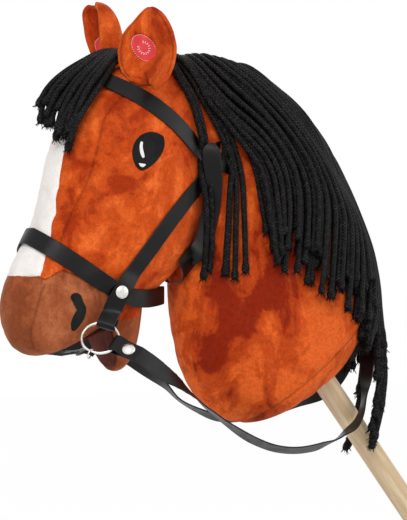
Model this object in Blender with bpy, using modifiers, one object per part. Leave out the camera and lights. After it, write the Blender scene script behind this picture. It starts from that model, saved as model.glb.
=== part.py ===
"""Hobby horse: a stuffed plush horse head with a cord mane and a strap bridle, on a wooden stick.

Units are metres, +Z is up, -X is where the nose points and -Y is the horse's near side.
The origin is on the stick's axis, where the rider's hand holds it.
The stick leans back and the head stands as it does in the hand, so that mane and reins hang true.
"""

import math

import bmesh
import bpy
from mathutils import Matrix, Vector
from mathutils.bvhtree import BVHTree

MM = 0.001
GAP = 0.3 * MM  # between pieces that touch

# Stick, round wood, leaning back from upright
STICK_DIAMETER = 24.0 * MM
STICK_LEAN = math.radians(37.9)
STICK_BELOW_GRIP = 455.0 * MM
STICK_ABOVE_GRIP = 295.0 * MM
STICK_CHAMFER = 1.5 * MM

# Sleeve that holds the stick inside the neck
SOCKET_CLEARANCE = 0.4 * MM
SOCKET_WALL = 2.5 * MM
SOCKET_MOUTH = 116.0 * MM  # from the grip, along the stick
SOCKET_END_WALL = 4.0 * MM

# Stuffed forms, as sections from end to end
# Each is front x, front z, back x, back z and half width, in millimetres
NECK_SECTIONS = (
    (-116, 50, -64, 84, 20),
    (-158, 36, -32, 108, 40),
    (-205, 54, -16, 146, 54),
    (-235, 104, -16, 182, 60),
    (-244, 178, -32, 240, 59),
    (-242, 256, -84, 316, 50),
    (-244, 322, -146, 376, 42),
    (-256, 360, -196, 397, 36),
    (-258, 382, -228, 399, 20),
)
HEAD_SECTIONS = (
    (-252, 400, -222, 382, 22),
    (-290, 397, -206, 350, 40),
    (-336, 384, -206, 300, 52),
    (-366, 338, -211, 240, 57),
    (-378, 288, -240, 190, 56),
    (-388, 240, -286, 160, 49),
    (-410, 205, -314, 143, 44),
    (-426, 172, -338, 130, 43),
    (-425, 140, -354, 114, 37),
    (-410, 117, -380, 109, 22),
)
JAW_SECTIONS = (
    (-340, 176, -278, 184, 34),
    (-338, 150, -281, 154, 35),
    (-331, 124, -285, 128, 31),
    (-322, 105, -291, 108, 23),
    (-313, 94, -301, 95, 11),
)
CAGE_POINTS = 8
FORM_LEVELS = 2

# Ears, each turned on its own foot
EAR_HEIGHT = 88.0 * MM
EAR_HALF_WIDTHS = (11, 26, 33, 31, 21, 7)  # from foot to tip, in millimetres
EAR_THICKNESS = 10.0 * MM
# Foot in millimetres, degrees of turn outward, nod forward and lean to the side, how far the
# rims stand ahead of the middle, and the width against the pattern's
EARS = {
    "near": ((-281, -40, 366), 33.0, 0.0, -3.0, 12.0, 1.0),
    "far": ((-272, 40, 373), -10.0, 13.0, 0.0, 33.0, 0.78),
}

# Press patch and switch in each ear
PATCH_LONG = 31.0 * MM
PATCH_SHORT = 21.0 * MM
PATCH_THICKNESS = 1.2 * MM
PATCH_UP = 44.0 * MM  # height of the patch on the ear
PATCH_ACROSS = -9.0 * MM
PATCH_ROLL = math.radians(-38.0)  # the upper end leans inward
PLUNGER_DIAMETER = 15.0 * MM
PLUNGER_LENGTH = 1.6 * MM
SWITCH_DIAMETER = 17.0 * MM
SWITCH_LENGTH = 2.2 * MM
PRESS_TRAVEL = 1.5 * MM
PRESS_CLEARANCE = 0.6 * MM

# Sound box behind the ears, in a pocket of the head that the neck closes
SOUND_BOX = (34.0 * MM, 44.0 * MM, 30.0 * MM)
SOUND_BOX_PLACE = (-272, 344)
SOUND_LID_THICKNESS = 2.0 * MM

# Straps
STRAP_WIDTH = 17.5 * MM
STRAP_THICKNESS = 1.4 * MM
STRAP_LIFT = 0.7 * MM  # over the plush
STRAP_STEP = 9.0 * MM
CAST_REACH = 22.0 * MM  # how far outside a skin its outermost layer is looked for
THROAT_REACH = 8.0 * MM
RIVET_REACH = 40.0 * MM
DRILL_REACH = 17.0 * MM
REIN_THICKNESS = 1.4 * MM
BIT_STRAP_WIDTH = 6.5 * MM

# Rivets
RIVET_DIAMETER = 13.0 * MM
RIVET_DOME = 2.4 * MM
RIVET_SHANK = 4.0 * MM
RIVET_CLEARANCE = 0.3 * MM

# Rings
RING_DIAMETER = 38.4 * MM  # over the wire
RING_WIRE = 2.7 * MM
JUMP_RING_DIAMETER = 11.0 * MM
JUMP_RING_WIRE = 1.4 * MM
FOLD_CLEARANCE = 1.5 * MM  # between a ring's wire and the strap folded round it
FOLD_OPEN_TO = 1.5 * MM  # from the wire, where the two leaves of a fold start to close
FOLD_SHUT_FROM = 6.3 * MM

# Mane
CORD_THICKNESS = 4.8 * MM
TAPE_WIDTH = 9.0 * MM
TAPE_THICKNESS = 5.5 * MM
CREST_RISE = 6.0 * MM  # how high the cords arch over the tape
TAPE_LIFT = 1.2 * MM
CORD_LIFT = 7.0 * MM
CREST_BIAS = 1.05  # cords stand closer at the poll than at the withers
CORD_POINTS = 8

# Seam planes, as a point and the direction along the seam, in millimetres in the mid-plane
BASE_SEAM = ((-95, 94), (0.789, 0.614))
MUZZLE_SEAM = ((-420, 193), (0.95, -0.31))
PALATE = ((-400, 109), (0.929, 0.371))
JAW_LINING = ((-325, 139), (0.322, -0.947))
LINING_THICKNESS = 1.2 * MM

# White strip down the face: height and half width, in millimetres
BLAZE_LIFT = 1.0 * MM
BLAZE_ROWS = (
    (366, 8),
    (345, 13),
    (320, 17),
    (297, 19),
    (270, 20),
    (248, 22),
    (224, 26),
    (205, 29),
    (188, 31),
)


def new_collection(name):
    collection = bpy.data.collections.new(name)
    bpy.context.scene.collection.children.link(collection)
    return collection


def clear_scene():
    for obj in list(bpy.data.objects):
        bpy.data.objects.remove(obj)


clear_scene()
PARTS = new_collection("hobby_horse")
CUTTERS = new_collection("cutters")


def material(name, colour, roughness, metallic=0.0):
    made = bpy.data.materials.new(name)
    made.use_nodes = True
    shader = made.node_tree.nodes["Principled BSDF"]
    shader.inputs["Base Color"].default_value = (*colour, 1.0)
    shader.inputs["Roughness"].default_value = roughness
    shader.inputs["Metallic"].default_value = metallic
    return made


CHESTNUT = material("chestnut_plush", (0.60, 0.13, 0.025), 0.9)
BROWN = material("brown_plush", (0.42, 0.13, 0.05), 0.9)
LINING = material("mouth_lining", (0.14, 0.03, 0.02), 0.7)
BLAZE = material("white_plush", (0.86, 0.80, 0.76), 0.9)
FELT = material("black_felt", (0.02, 0.018, 0.016), 0.85)
PATCH = material("red_patch", (0.72, 0.05, 0.06), 0.7)
STRAP = material("black_strap", (0.03, 0.027, 0.027), 0.5)
STEEL = material("nickel", (0.72, 0.70, 0.66), 0.3, 1.0)
CORD = material("black_cord", (0.02, 0.017, 0.017), 0.8)
WOOD = material("pale_wood", (0.72, 0.55, 0.36), 0.6)
PLASTIC = material("grey_plastic", (0.35, 0.35, 0.36), 0.5)


def at(x, z, y=0.0):
    """A point given in millimetres."""
    return Vector((x, y, z)) * MM


def add(name, mesh, finish, collection=None):
    obj = bpy.data.objects.new(name, mesh)
    (collection or PARTS).objects.link(obj)
    if finish is not None:
        mesh.materials.clear()
        mesh.materials.append(finish)
    return obj


def loft(name, rings, closed=False):
    """Skin rings that have the same number of points, and close both ends or join them."""
    made = bmesh.new()
    rows = [[made.verts.new(point) for point in ring] for ring in rings]
    count = len(rows[0])
    pairs = list(zip(rows, rows[1:]))
    if closed:
        pairs.append((rows[-1], rows[0]))
    for row, following in pairs:
        for k in range(count):
            after = (k + 1) % count
            made.faces.new((row[k], row[after], following[after], following[k]))
    if not closed:
        made.faces.new(rows[0])
        made.faces.new(rows[-1])
    bmesh.ops.recalc_face_normals(made, faces=made.faces)
    mesh = bpy.data.meshes.new(name)
    made.to_mesh(mesh)
    made.free()
    return mesh


def oval_ring(front_x, front_z, back_x, back_z, half_width):
    """Cage points of one section; the smoothed surface passes through its ends and sides."""
    front, back = at(front_x, front_z), at(back_x, back_z)
    centre, radius = (front + back) / 2, (front - back) / 2
    step = 2 * math.pi / CAGE_POINTS
    swell = 6 / (4 + 2 * math.cos(step))
    side = Vector((0, -half_width * MM, 0))
    return [
        centre + swell * (math.cos(k * step) * radius + math.sin(k * step) * side)
        for k in range(CAGE_POINTS)
    ]


def subdivide(obj, levels):
    smooth = obj.modifiers.new("Subdivision", "SUBSURF")
    smooth.levels = levels
    smooth.render_levels = levels


def settle(obj):
    """Replace an object's mesh by its evaluated one, so that it can be cut and measured."""
    bpy.context.view_layer.update()
    graph = bpy.context.evaluated_depsgraph_get()
    mesh = bpy.data.meshes.new_from_object(obj.evaluated_get(graph))
    mesh.name = obj.name
    obj.modifiers.clear()
    obj.data = mesh
    return obj


def stuffed_form(name, sections, finish, levels=FORM_LEVELS):
    obj = add(name, loft(name, [oval_ring(*section) for section in sections]), finish)
    subdivide(obj, levels)
    settle(obj)
    obj.data.shade_smooth()
    return obj


def plane_cut(obj, plane, keep_above, inset=GAP / 2):
    """Keep one side of a plane that is square to the mid-plane, and close the cut."""
    (x, z), (along_x, along_z) = plane
    along = Vector((along_x, 0, along_z)).normalized()
    normal = Vector((-along.z, 0, along.x))
    if not keep_above:
        normal.negate()
    made = bmesh.new()
    made.from_mesh(obj.data)
    cut = bmesh.ops.bisect_plane(
        made,
        geom=made.verts[:] + made.edges[:] + made.faces[:],
        plane_co=at(x, z) + normal * inset,
        plane_no=normal,
        clear_inner=True,
    )
    edges = [item for item in cut["geom_cut"] if isinstance(item, bmesh.types.BMEdge)]
    bmesh.ops.contextual_create(made, geom=edges)
    bmesh.ops.recalc_face_normals(made, faces=made.faces)
    made.to_mesh(obj.data)
    made.free()
    return obj


def copy_of(obj, name):
    made = add(name, obj.data.copy(), None, CUTTERS if name.startswith("cut_") else PARTS)
    return made


def grown_cutter(obj, gap):
    """A copy that stands proud of its source all over."""
    cutter = copy_of(obj, "cut_" + obj.name)
    grow = cutter.modifiers.new("Gap", "DISPLACE")
    grow.strength = gap
    grow.mid_level = 0.0
    cutter.hide_render = True
    cutter.display_type = "WIRE"
    return cutter


def cut(obj, cutter, settle_now=False, solver="EXACT"):
    hole = obj.modifiers.new("Cut " + cutter.name, "BOOLEAN")
    hole.operation = "DIFFERENCE"
    hole.solver = solver
    hole.object = cutter
    if settle_now:
        settle(obj)
    return obj



def smooth_path(points, step):
    """Points about a step apart on a smooth curve through the given ones."""
    knots = [points[0], *points, points[-1]]
    made = []
    for before, start, end, after in zip(knots, knots[1:], knots[2:], knots[3:]):
        steps = max(1, round((end - start).length / step))
        for k in range(steps):
            t = k / steps
            made.append(
                0.5
                * (
                    2 * start
                    + (end - before) * t
                    + (2 * before - 5 * start + 4 * end - after) * t**2
                    + (3 * start - before - 3 * end + after) * t**3
                )
            )
    return made + [points[-1].copy()]


def resampled(points, count):
    """The same route with a given number of points, evenly spaced along it."""
    lengths = [0.0]
    for a, b in zip(points, points[1:]):
        lengths.append(lengths[-1] + (b - a).length)
    made = []
    for k in range(count):
        want = lengths[-1] * k / (count - 1)
        i = max(j for j in range(len(lengths) - 1) if lengths[j] <= want + 1e-12)
        span = max(lengths[i + 1] - lengths[i], 1e-9)
        made.append(points[i].lerp(points[i + 1], (want - lengths[i]) / span))
    return made


class Skin:
    """The outside of one or more forms, for laying straps, patches and cords on it."""

    def __init__(self, *objects):
        self.trees = []
        self.add(*objects)
        self.forms = list(self.trees)

    def add(self, *objects):
        bpy.context.view_layer.update()
        graph = bpy.context.evaluated_depsgraph_get()
        for obj in objects:
            evaluated = obj.evaluated_get(graph)
            mesh = evaluated.to_mesh()
            corners = [obj.matrix_world @ vertex.co for vertex in mesh.vertices]
            faces = [tuple(face.vertices) for face in mesh.polygons]
            self.trees.append(BVHTree.FromPolygons(corners, faces))
            evaluated.to_mesh_clear()

    def forms_nearest(self, point):
        found = [tree.find_nearest(point) for tree in self.forms]
        return min(found, key=lambda hit: hit[3])[:2]

    def cast(self, start, direction):
        hits = [tree.ray_cast(start, direction) for tree in self.trees]
        hits = [hit for hit in hits if hit[0] is not None]
        return min(hits, key=lambda hit: hit[3])[:2] if hits else None

    def under(self, start, direction):
        """Where a line meets the forms, whatever lies on them."""
        hits = [tree.ray_cast(start, direction) for tree in self.forms]
        hits = [hit for hit in hits if hit[0] is not None]
        return min(hits, key=lambda hit: hit[3])[:2] if hits else None


def averaged(vectors, rounds):
    for _ in range(rounds):
        inner = [
            (a + 2 * b + c) / 4 for a, b, c in zip(vectors, vectors[1:], vectors[2:])
        ]
        vectors = [vectors[0], *inner, vectors[-1]]
    return vectors


def tangents(points):
    ends = [points[0], *points, points[-1]]
    return [(after - before).normalized() for before, after in zip(ends, ends[2:])]


def rise_over(skin, point, out, lift, offsets=((0, 0, 0),), reach=CAST_REACH):
    """How far outward a point must move to stand clear of whatever lies on the outside there."""
    rise = 0.0
    for offset in offsets:
        hit = skin.cast(point + Vector(offset) + out * reach, -out)
        if hit is not None:
            rise = max(rise, (hit[0] - point).dot(out) + lift)
    return rise


def eased(rises, spread=1):
    """A smooth line that stays on or above the given heights."""
    tops = [max(rises[max(k - spread, 0) : k + spread + 1]) for k in range(len(rises))]
    ends = [tops[0], *tops, tops[-1]]
    return [(a + 2 * b + c) / 4 for a, b, c in zip(ends, tops, ends[2:])]


def laid(skin, route, lift=STRAP_LIFT, closed=False, low=-1.0):
    """Sections (middle, side, outward) of a flat strap that lies on a skin or bridges over it."""
    points = [at(x, z, y) for x, y, z in route]
    if closed:
        points.append(points[0])
    width, step = STRAP_WIDTH, STRAP_STEP
    middles = smooth_path(points, step)
    outward = [skin.forms_nearest(middle)[1] for middle in middles]
    outward = [vector.normalized() for vector in averaged(outward, 4)]
    for turn in range(2):
        rises = []
        for middle, along, out in zip(middles, tangents(middles), outward):
            side = along.cross(out).normalized()
            offsets = [
                side * width * across + along * step * ahead
                for across in (-0.52, -0.25, 0, 0.25, 0.52)
                for ahead in (-0.5, 0, 0.5)
            ]
            reach = THROAT_REACH if middle.z < low else CAST_REACH
            rises.append(rise_over(skin, middle, out, lift, offsets, reach))
        middles = [middle + out * up for middle, out, up in zip(middles, outward, eased(rises))]
    if closed:
        middles[0] = middles[-1] = (middles[0] + middles[-1]) / 2
        outward[0] = outward[-1] = (outward[0] + outward[-1]).normalized()
    sections = []
    directions = tangents(middles)
    if closed:
        directions[0] = directions[-1] = (middles[1] - middles[-2]).normalized()
    for middle, along, out in zip(middles, directions, outward):
        side = along.cross(out).normalized()
        sections.append((middle, side, side.cross(along).normalized()))
    return sections[:-1] if closed else sections


def strap(name, sections, width=STRAP_WIDTH, tips=(), closed=False, thickness=STRAP_THICKNESS):
    """A flat strap with square edges; its inner face runs through the sections' middles."""
    rings = []
    for k, (middle, side, out) in enumerate(sections):
        half = width / 2
        if k in tips:
            half = width / 7
        corners = ((-half, 0), (half, 0), (half, thickness), (-half, thickness))
        rings.append([middle + side * across + out * up for across, up in corners])
    return add(name, loft(name, rings, closed), STRAP)


def turned(name, profile, steps, finish):
    """Turn a profile of (radius, height) points about Z; it runs down its outer side."""
    mesh = bpy.data.meshes.new(name)
    points = [(radius, 0, height) for radius, height in profile]
    mesh.from_pydata(points, [(k, k + 1) for k in range(len(points) - 1)], [])
    obj = add(name, mesh, finish)
    screw = obj.modifiers.new("Turn", "SCREW")
    screw.steps = steps
    screw.render_steps = steps
    screw.use_merge_vertices = True
    screw.merge_threshold = 0.00001
    return obj


def facing(origin, out, up=Vector((0, 0, 1))):
    """A frame whose Z is the outward direction."""
    across = up.cross(out).normalized()
    rows = Matrix((across, out.cross(across), out)).transposed().to_4x4()
    return Matrix.Translation(origin) @ rows


def rivet(name, place, out, depth):
    """A domed rivet; its head seats on the outermost strap, its shank goes through the stack."""
    radius, shank = RIVET_DIAMETER / 2, RIVET_SHANK / 2
    rise = 3
    dome = [
        (radius * math.sin(k * math.pi / 2 / rise), 0.7 * RIVET_DOME * math.cos(k * math.pi / 2 / rise))
        for k in range(rise + 1)
    ]
    profile = [(r, h + 0.3 * RIVET_DOME) for r, h in dome]
    profile += [(radius, 0), (shank, 0), (shank, -depth), (0, -depth)]
    obj = turned(name, profile, 12, STEEL)
    obj.matrix_world = facing(place, out)
    return obj


def drill(obj, place, out, radius, reach):
    """Bore a round hole through a piece, along the outward direction."""
    made = bmesh.new()
    bmesh.ops.create_cone(
        made, cap_ends=True, segments=14, radius1=radius, radius2=radius, depth=2 * reach
    )
    mesh = bpy.data.meshes.new("cut_hole")
    made.to_mesh(mesh)
    made.free()
    cutter = add("cut_hole_" + obj.name, mesh, None, CUTTERS)
    cutter.matrix_world = facing(place, out)
    cutter.hide_render = True
    cutter.display_type = "WIRE"
    return cut(obj, cutter, solver="MANIFOLD")


def mirrored(obj, name):
    """The far side's copy of a near side piece."""
    settle(obj)
    mesh = obj.data.copy()
    mesh.name = name
    mesh.transform(obj.matrix_world)
    mesh.transform(Matrix.Scale(-1, 4, (0, 1, 0)))
    mesh.flip_normals()
    return add(name, mesh, None)


def stick_frame():
    """Z runs up the stick, from the grip."""
    up = Vector((-math.sin(STICK_LEAN), 0, math.cos(STICK_LEAN)))
    return facing(Vector(), up, Vector((0, 1, 0)))


def make_stick():
    radius = STICK_DIAMETER / 2
    profile = (
        (0, STICK_ABOVE_GRIP),
        (radius - STICK_CHAMFER, STICK_ABOVE_GRIP),
        (radius, STICK_ABOVE_GRIP - STICK_CHAMFER),
        (radius, STICK_CHAMFER - STICK_BELOW_GRIP),
        (radius - STICK_CHAMFER, -STICK_BELOW_GRIP),
        (0, -STICK_BELOW_GRIP),
    )
    stick = turned("stick", profile, 32, WOOD)
    stick.matrix_world = stick_frame()


SOCKET_RADIUS = STICK_DIAMETER / 2 + SOCKET_CLEARANCE + SOCKET_WALL
SOCKET_TOP = STICK_ABOVE_GRIP + GAP + SOCKET_END_WALL


def make_socket():
    bore = STICK_DIAMETER / 2 + SOCKET_CLEARANCE
    profile = (
        (0, SOCKET_TOP),
        (SOCKET_RADIUS, SOCKET_TOP),
        (SOCKET_RADIUS, SOCKET_MOUTH),
        (bore, SOCKET_MOUTH),
        (bore, STICK_ABOVE_GRIP + GAP),
        (0, STICK_ABOVE_GRIP + GAP),
    )
    socket = turned("stick_socket", profile, 32, PLASTIC)
    socket.matrix_world = stick_frame()


def solid_cutter(name, mesh, matrix):
    cutter = add(name, mesh, None, CUTTERS)
    cutter.matrix_world = matrix
    cutter.hide_render = True
    cutter.display_type = "WIRE"
    return cutter


def cone_mesh(name, radius, low, high, segments=32):
    made = bmesh.new()
    middle = Matrix.Translation((0, 0, (low + high) / 2))
    bmesh.ops.create_cone(
        made,
        cap_ends=True,
        segments=segments,
        radius1=radius,
        radius2=radius,
        depth=high - low,
        matrix=middle,
    )
    mesh = bpy.data.meshes.new(name)
    made.to_mesh(mesh)
    made.free()
    return mesh


def box_mesh(name, size):
    made = bmesh.new()
    bmesh.ops.create_cube(made, size=1.0, matrix=Matrix.Diagonal((*size, 1)))
    mesh = bpy.data.meshes.new(name)
    made.to_mesh(mesh)
    made.free()
    return mesh


def make_forms():
    """The neck with its base panel, the head with its muzzle, and the lower jaw."""
    neck = stuffed_form("neck", NECK_SECTIONS, CHESTNUT)
    head = stuffed_form("head", HEAD_SECTIONS, CHESTNUT)
    jaw = stuffed_form("lower_jaw", JAW_SECTIONS, BROWN, levels=1)
    whole = [copy_of(form, "cut_whole_" + form.name) for form in (head, neck, jaw)]
    for form in whole:
        form.hide_render = True
        form.display_type = "WIRE"

    base = add("neck_base", neck.data.copy(), CHESTNUT)
    plane_cut(neck, BASE_SEAM, True)
    plane_cut(base, BASE_SEAM, False)
    bore = cone_mesh("cut_socket", SOCKET_RADIUS + GAP, SOCKET_MOUTH - GAP, SOCKET_TOP + GAP)
    socket_bore = solid_cutter("cut_socket", bore, stick_frame())
    mouth = cone_mesh("cut_stick", STICK_DIAMETER / 2 + SOCKET_CLEARANCE, 0, SOCKET_MOUTH)
    stick_bore = solid_cutter("cut_stick", mouth, stick_frame())
    cut(neck, socket_bore)
    cut(base, socket_bore)
    cut(base, stick_bore)

    plane_cut(head, PALATE, True)
    muzzle = add("muzzle", head.data.copy(), BROWN)
    plane_cut(muzzle, MUZZLE_SEAM, False)
    plane_cut(head, MUZZLE_SEAM, True)
    cut(head, grown_cutter(whole[1], GAP + 0.2 * MM), settle_now=True)
    whole_head = grown_cutter(whole[0], GAP)
    plane_cut(jaw, JAW_LINING, True)
    plane_cut(jaw, PALATE, False)
    cut(jaw, whole_head, settle_now=True)
    return head, whole, whole_head


def make_sound_box(head):
    """The box slides into its pocket from behind; the lid with the batteries faces the neck."""
    length, width, height = SOUND_BOX
    x, z = SOUND_BOX_PLACE
    room = [side + 2 * PRESS_CLEARANCE for side in SOUND_BOX]
    reach = 60 * MM
    pocket_size = (room[0] + reach, room[1], room[2])
    pocket = solid_cutter(
        "cut_sound_pocket",
        box_mesh("cut_sound_pocket", pocket_size),
        Matrix.Translation(at(x, z) + Vector((reach / 2, 0, 0))),
    )
    cut(head, pocket)
    body = length - SOUND_LID_THICKNESS - GAP
    box = add("sound_box", box_mesh("sound_box", (body, width, height)), PLASTIC)
    box.location = at(x, z) - Vector(((length - body) / 2, 0, 0))
    lid_size = (SOUND_LID_THICKNESS, width, height)
    lid = add("sound_box_lid", box_mesh("sound_box_lid", lid_size), PLASTIC)
    lid.location = at(x, z) + Vector(((length - SOUND_LID_THICKNESS) / 2, 0, 0))


def make_lining():
    """Dark fabric that lines the palate, turns at the mouth's corner and runs down the jaw."""
    (x0, z0), palate = PALATE
    (x1, z1), drop = JAW_LINING
    palate = Vector((palate[0], 0, palate[1])).normalized()
    drop = Vector((drop[0], 0, drop[1])).normalized()
    under = Vector((palate.z, 0, -palate.x))
    ahead = Vector((drop.z, 0, -drop.x))
    corner = at(x1, z1)
    lift = 2 * GAP
    stations = [
        (corner - 70 * MM * palate, under, 17),
        (corner - 60 * MM * palate, under, 25),
        (corner - 42 * MM * palate, under, 31),
        (corner - 20 * MM * palate, under, 34),
        (corner - 6 * MM * palate, under, 33),
        (corner, (under + ahead).normalized() * 1.4, 32),
        (corner + 6 * MM * drop, ahead, 31),
        (corner + 18 * MM * drop, ahead, 28),
        (corner + 32 * MM * drop, ahead, 22),
        (corner + 43 * MM * drop, ahead, 12),
    ]
    rings = []
    for place, out, half in stations:
        side = Vector((0, half * MM, 0))
        inner = place + out * lift
        outer = inner + out * LINING_THICKNESS
        rings.append([inner - side, inner + side, outer + side, outer - side])
    add("mouth_lining", loft("mouth_lining", rings), LINING)


def ellipse_prism(name, long_radius, short_radius, low, high, segments):
    mesh = cone_mesh(name, 1.0, low, high, segments)
    for vertex in mesh.vertices:
        vertex.co.x *= long_radius
        vertex.co.y *= short_radius
    return mesh


def make_ear(side, whole_head):
    """A cupped ear that faces its own -Y, with the press patch and its switch set into it."""
    foot, turn, nod, lean, cup_depth, width = EARS[side]
    cup_depth *= MM
    holder = bpy.data.objects.new("ear_frame_" + side, None)
    PARTS.objects.link(holder)
    holder.location = at(foot[0], foot[2], foot[1])
    holder.rotation_euler = (math.radians(nod), math.radians(lean), math.radians(turn - 90))
    rows = len(EAR_HALF_WIDTHS) - 1
    widest = max(EAR_HALF_WIDTHS) * width * MM
    made = bmesh.new()
    grid = []
    for i, half in enumerate(EAR_HALF_WIDTHS):
        fold = 1.5 - i / rows
        row = []
        for j in (-2, -1, 0, 1, 2):
            across = half * width * MM * j / 2
            cup = -cup_depth * fold * (across / widest) ** 2
            row.append(made.verts.new((across, cup, EAR_HEIGHT * i / rows)))
        grid.append(row)
    for low, high in zip(grid, grid[1:]):
        for k in range(4):
            made.faces.new((low[k], low[k + 1], high[k + 1], high[k]))
    mesh = bpy.data.meshes.new("ear_" + side)
    made.to_mesh(mesh)
    made.free()
    ear = add("ear_" + side, mesh, CHESTNUT)
    wall = ear.modifiers.new("Wall", "SOLIDIFY")
    wall.thickness = EAR_THICKNESS
    wall.offset = 0
    subdivide(ear, 1)
    settle(ear)
    ear.parent = holder

    # Depths are along the ear's own Y, from the middle of its wall
    face = -EAR_THICKNESS / 2 - 0.2 * MM
    patch_back = face + PATCH_THICKNESS
    floor = patch_back + PRESS_TRAVEL + GAP
    plunger_front = patch_back + GAP
    switch_front = plunger_front + PLUNGER_LENGTH + PRESS_TRAVEL + GAP
    switch_back = switch_front + SWITCH_LENGTH
    fold = 1.5 - PATCH_UP / EAR_HEIGHT
    depth = -cup_depth * fold * (PATCH_ACROSS / widest) ** 2
    slope = -2 * cup_depth * fold * PATCH_ACROSS / widest**2
    seat = Matrix.Translation((PATCH_ACROSS, depth, PATCH_UP))
    outward = seat @ Matrix.Rotation(math.atan(slope), 4, "Z") @ Matrix.Rotation(math.pi / 2, 4, "X")
    rolled = outward @ Matrix.Rotation(PATCH_ROLL, 4, "Z")
    long_radius, short_radius = PATCH_LONG / 2, PATCH_SHORT / 2
    recess = ellipse_prism(
        "cut_patch_" + side,
        long_radius + PRESS_CLEARANCE,
        short_radius + PRESS_CLEARANCE,
        -floor,
        20 * MM,
        24,
    )
    bore = cone_mesh(
        "cut_switch_" + side,
        SWITCH_DIAMETER / 2 + PRESS_CLEARANCE,
        -(switch_back + GAP),
        -floor + 1 * MM,
        20,
    )
    bpy.context.view_layer.update()
    cut(ear, solid_cutter(recess.name, recess, holder.matrix_world @ rolled))
    cut(ear, solid_cutter(bore.name, bore, holder.matrix_world @ outward))
    cut(ear, whole_head)

    patch = add(
        "ear_patch_" + side,
        ellipse_prism("ear_patch_" + side, long_radius, short_radius, -patch_back, -face, 24),
        PATCH,
    )
    patch.parent = holder
    patch.matrix_local = rolled
    plunger = add(
        "ear_plunger_" + side,
        cone_mesh(
            "ear_plunger_" + side,
            PLUNGER_DIAMETER / 2,
            -(plunger_front + PLUNGER_LENGTH),
            -plunger_front,
            16,
        ),
        PLASTIC,
    )
    plunger.parent = holder
    plunger.matrix_local = outward
    switch = add(
        "ear_switch_" + side,
        cone_mesh("ear_switch_" + side, SWITCH_DIAMETER / 2, -switch_back, -switch_front, 16),
        PLASTIC,
    )
    switch.parent = holder
    switch.matrix_local = outward


def projected_patch(name, skin, outline, direction, finish, lift=0.6 * MM, thickness=1.0 * MM):
    """A thin felt shape laid on a form; its outline is given as x and z in millimetres."""
    corners = [at(x, z) for x, z in outline]
    loop = smooth_path([*corners, corners[0]], 9 * MM)[:-1]
    centre = sum(loop, Vector()) / len(loop)
    made = bmesh.new()

    def seat(point):
        place, normal = skin.cast(point - direction * 300 * MM, direction)
        return made.verts.new(place + normal * lift)

    rings = [[seat(centre.lerp(point, share)) for point in loop] for share in (0.55, 1.0)]
    hub = seat(centre)
    count = len(loop)
    for k in range(count):
        after = (k + 1) % count
        made.faces.new((hub, rings[0][k], rings[0][after]))
        for inner, outer in zip(rings, rings[1:]):
            made.faces.new((inner[k], outer[k], outer[after], inner[after]))
    bmesh.ops.recalc_face_normals(made, faces=made.faces)
    made.normal_update()
    if sum((face.normal.dot(direction) for face in made.faces), 0.0) > 0:
        bmesh.ops.reverse_faces(made, faces=made.faces)
    mesh = bpy.data.meshes.new(name)
    made.to_mesh(mesh)
    made.free()
    obj = add(name, mesh, finish)
    wall = obj.modifiers.new("Thickness", "SOLIDIFY")
    wall.thickness = thickness
    wall.offset = 1
    return obj


def make_blaze(skin):
    """White strip down the face, wider towards the muzzle."""
    made = bmesh.new()
    grid = []
    outline = smooth_path([Vector((half * MM, 0, z * MM)) for z, half in BLAZE_ROWS], 10 * MM)
    for edge in outline:
        row = []
        for share in (-1, -0.66, -0.33, 0, 0.33, 0.66, 1):
            start = Vector((-0.6, edge.x * share, edge.z))
            place, normal = skin.cast(start, Vector((1, 0, 0)))
            row.append(made.verts.new(place + normal * BLAZE_LIFT))
        grid.append(row)
    for low, high in zip(grid, grid[1:]):
        for k in range(6):
            made.faces.new((low[k], high[k], high[k + 1], low[k + 1]))
    bmesh.ops.recalc_face_normals(made, faces=made.faces)
    made.normal_update()
    if sum((face.normal.x for face in made.faces), 0.0) > 0:
        bmesh.ops.reverse_faces(made, faces=made.faces)
    mesh = bpy.data.meshes.new("blaze")
    made.to_mesh(mesh)
    made.free()
    blaze = add("blaze", mesh, BLAZE)
    wall = blaze.modifiers.new("Thickness", "SOLIDIFY")
    wall.thickness = 1.0 * MM
    wall.offset = 1
    return blaze


def both_sides(route):
    """A route from the near side over the mid-plane to the far side."""
    return [*route, *((x, -y, z) for x, y, z in reversed(route[:-1]))]


# Bridle routes on the near side, as x, y and z in millimetres
UPPER_RIVET = (-217, -36, 299)
LOWER_RIVET = (-326, -38, 177)
BROWBAND = (
    (-209, -32, 293),
    UPPER_RIVET,
    (-232, -41, 308),
    (-254, -50, 321),
    (-272, -52, 333),
    (-293, -49, 349),
    (-314, -37, 366),
    (-330, -18, 380),
    (-334, 0, 386),
)
CHEEK_STRAP = (
    (-213, -33, 308),
    UPPER_RIVET,
    (-226, -35, 283),
    (-247, -46, 266),
    (-266, -51, 249),
    (-283, -51, 229),
    (-299, -48, 209),
    (-311, -42, 190),
    LOWER_RIVET,
    (-332, -41, 162),
)
NOSEBAND = (
    (-264, 0, 165),
    (-270, -14, 165),
    (-285, -27, 166),
    (-305, -34, 170),
    LOWER_RIVET,
    (-342, -42, 183),
    (-350, -45, 187),
    (-372, -43, 198),
    (-388, -32, 211),
    (-395, -20, 219),
    (-398, 0, 226),
)
THROATLATCH = (
    (-217, -37, 318),
    UPPER_RIVET,
    (-215, -37, 283),
    (-216, -37, 258),
    (-219, -35, 235),
    (-223, -36, 219),
    (-231, -34, 203),
    (-240, -28, 189),
    (-246, -15, 176),
    (-248, 0, 171),
)

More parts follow.
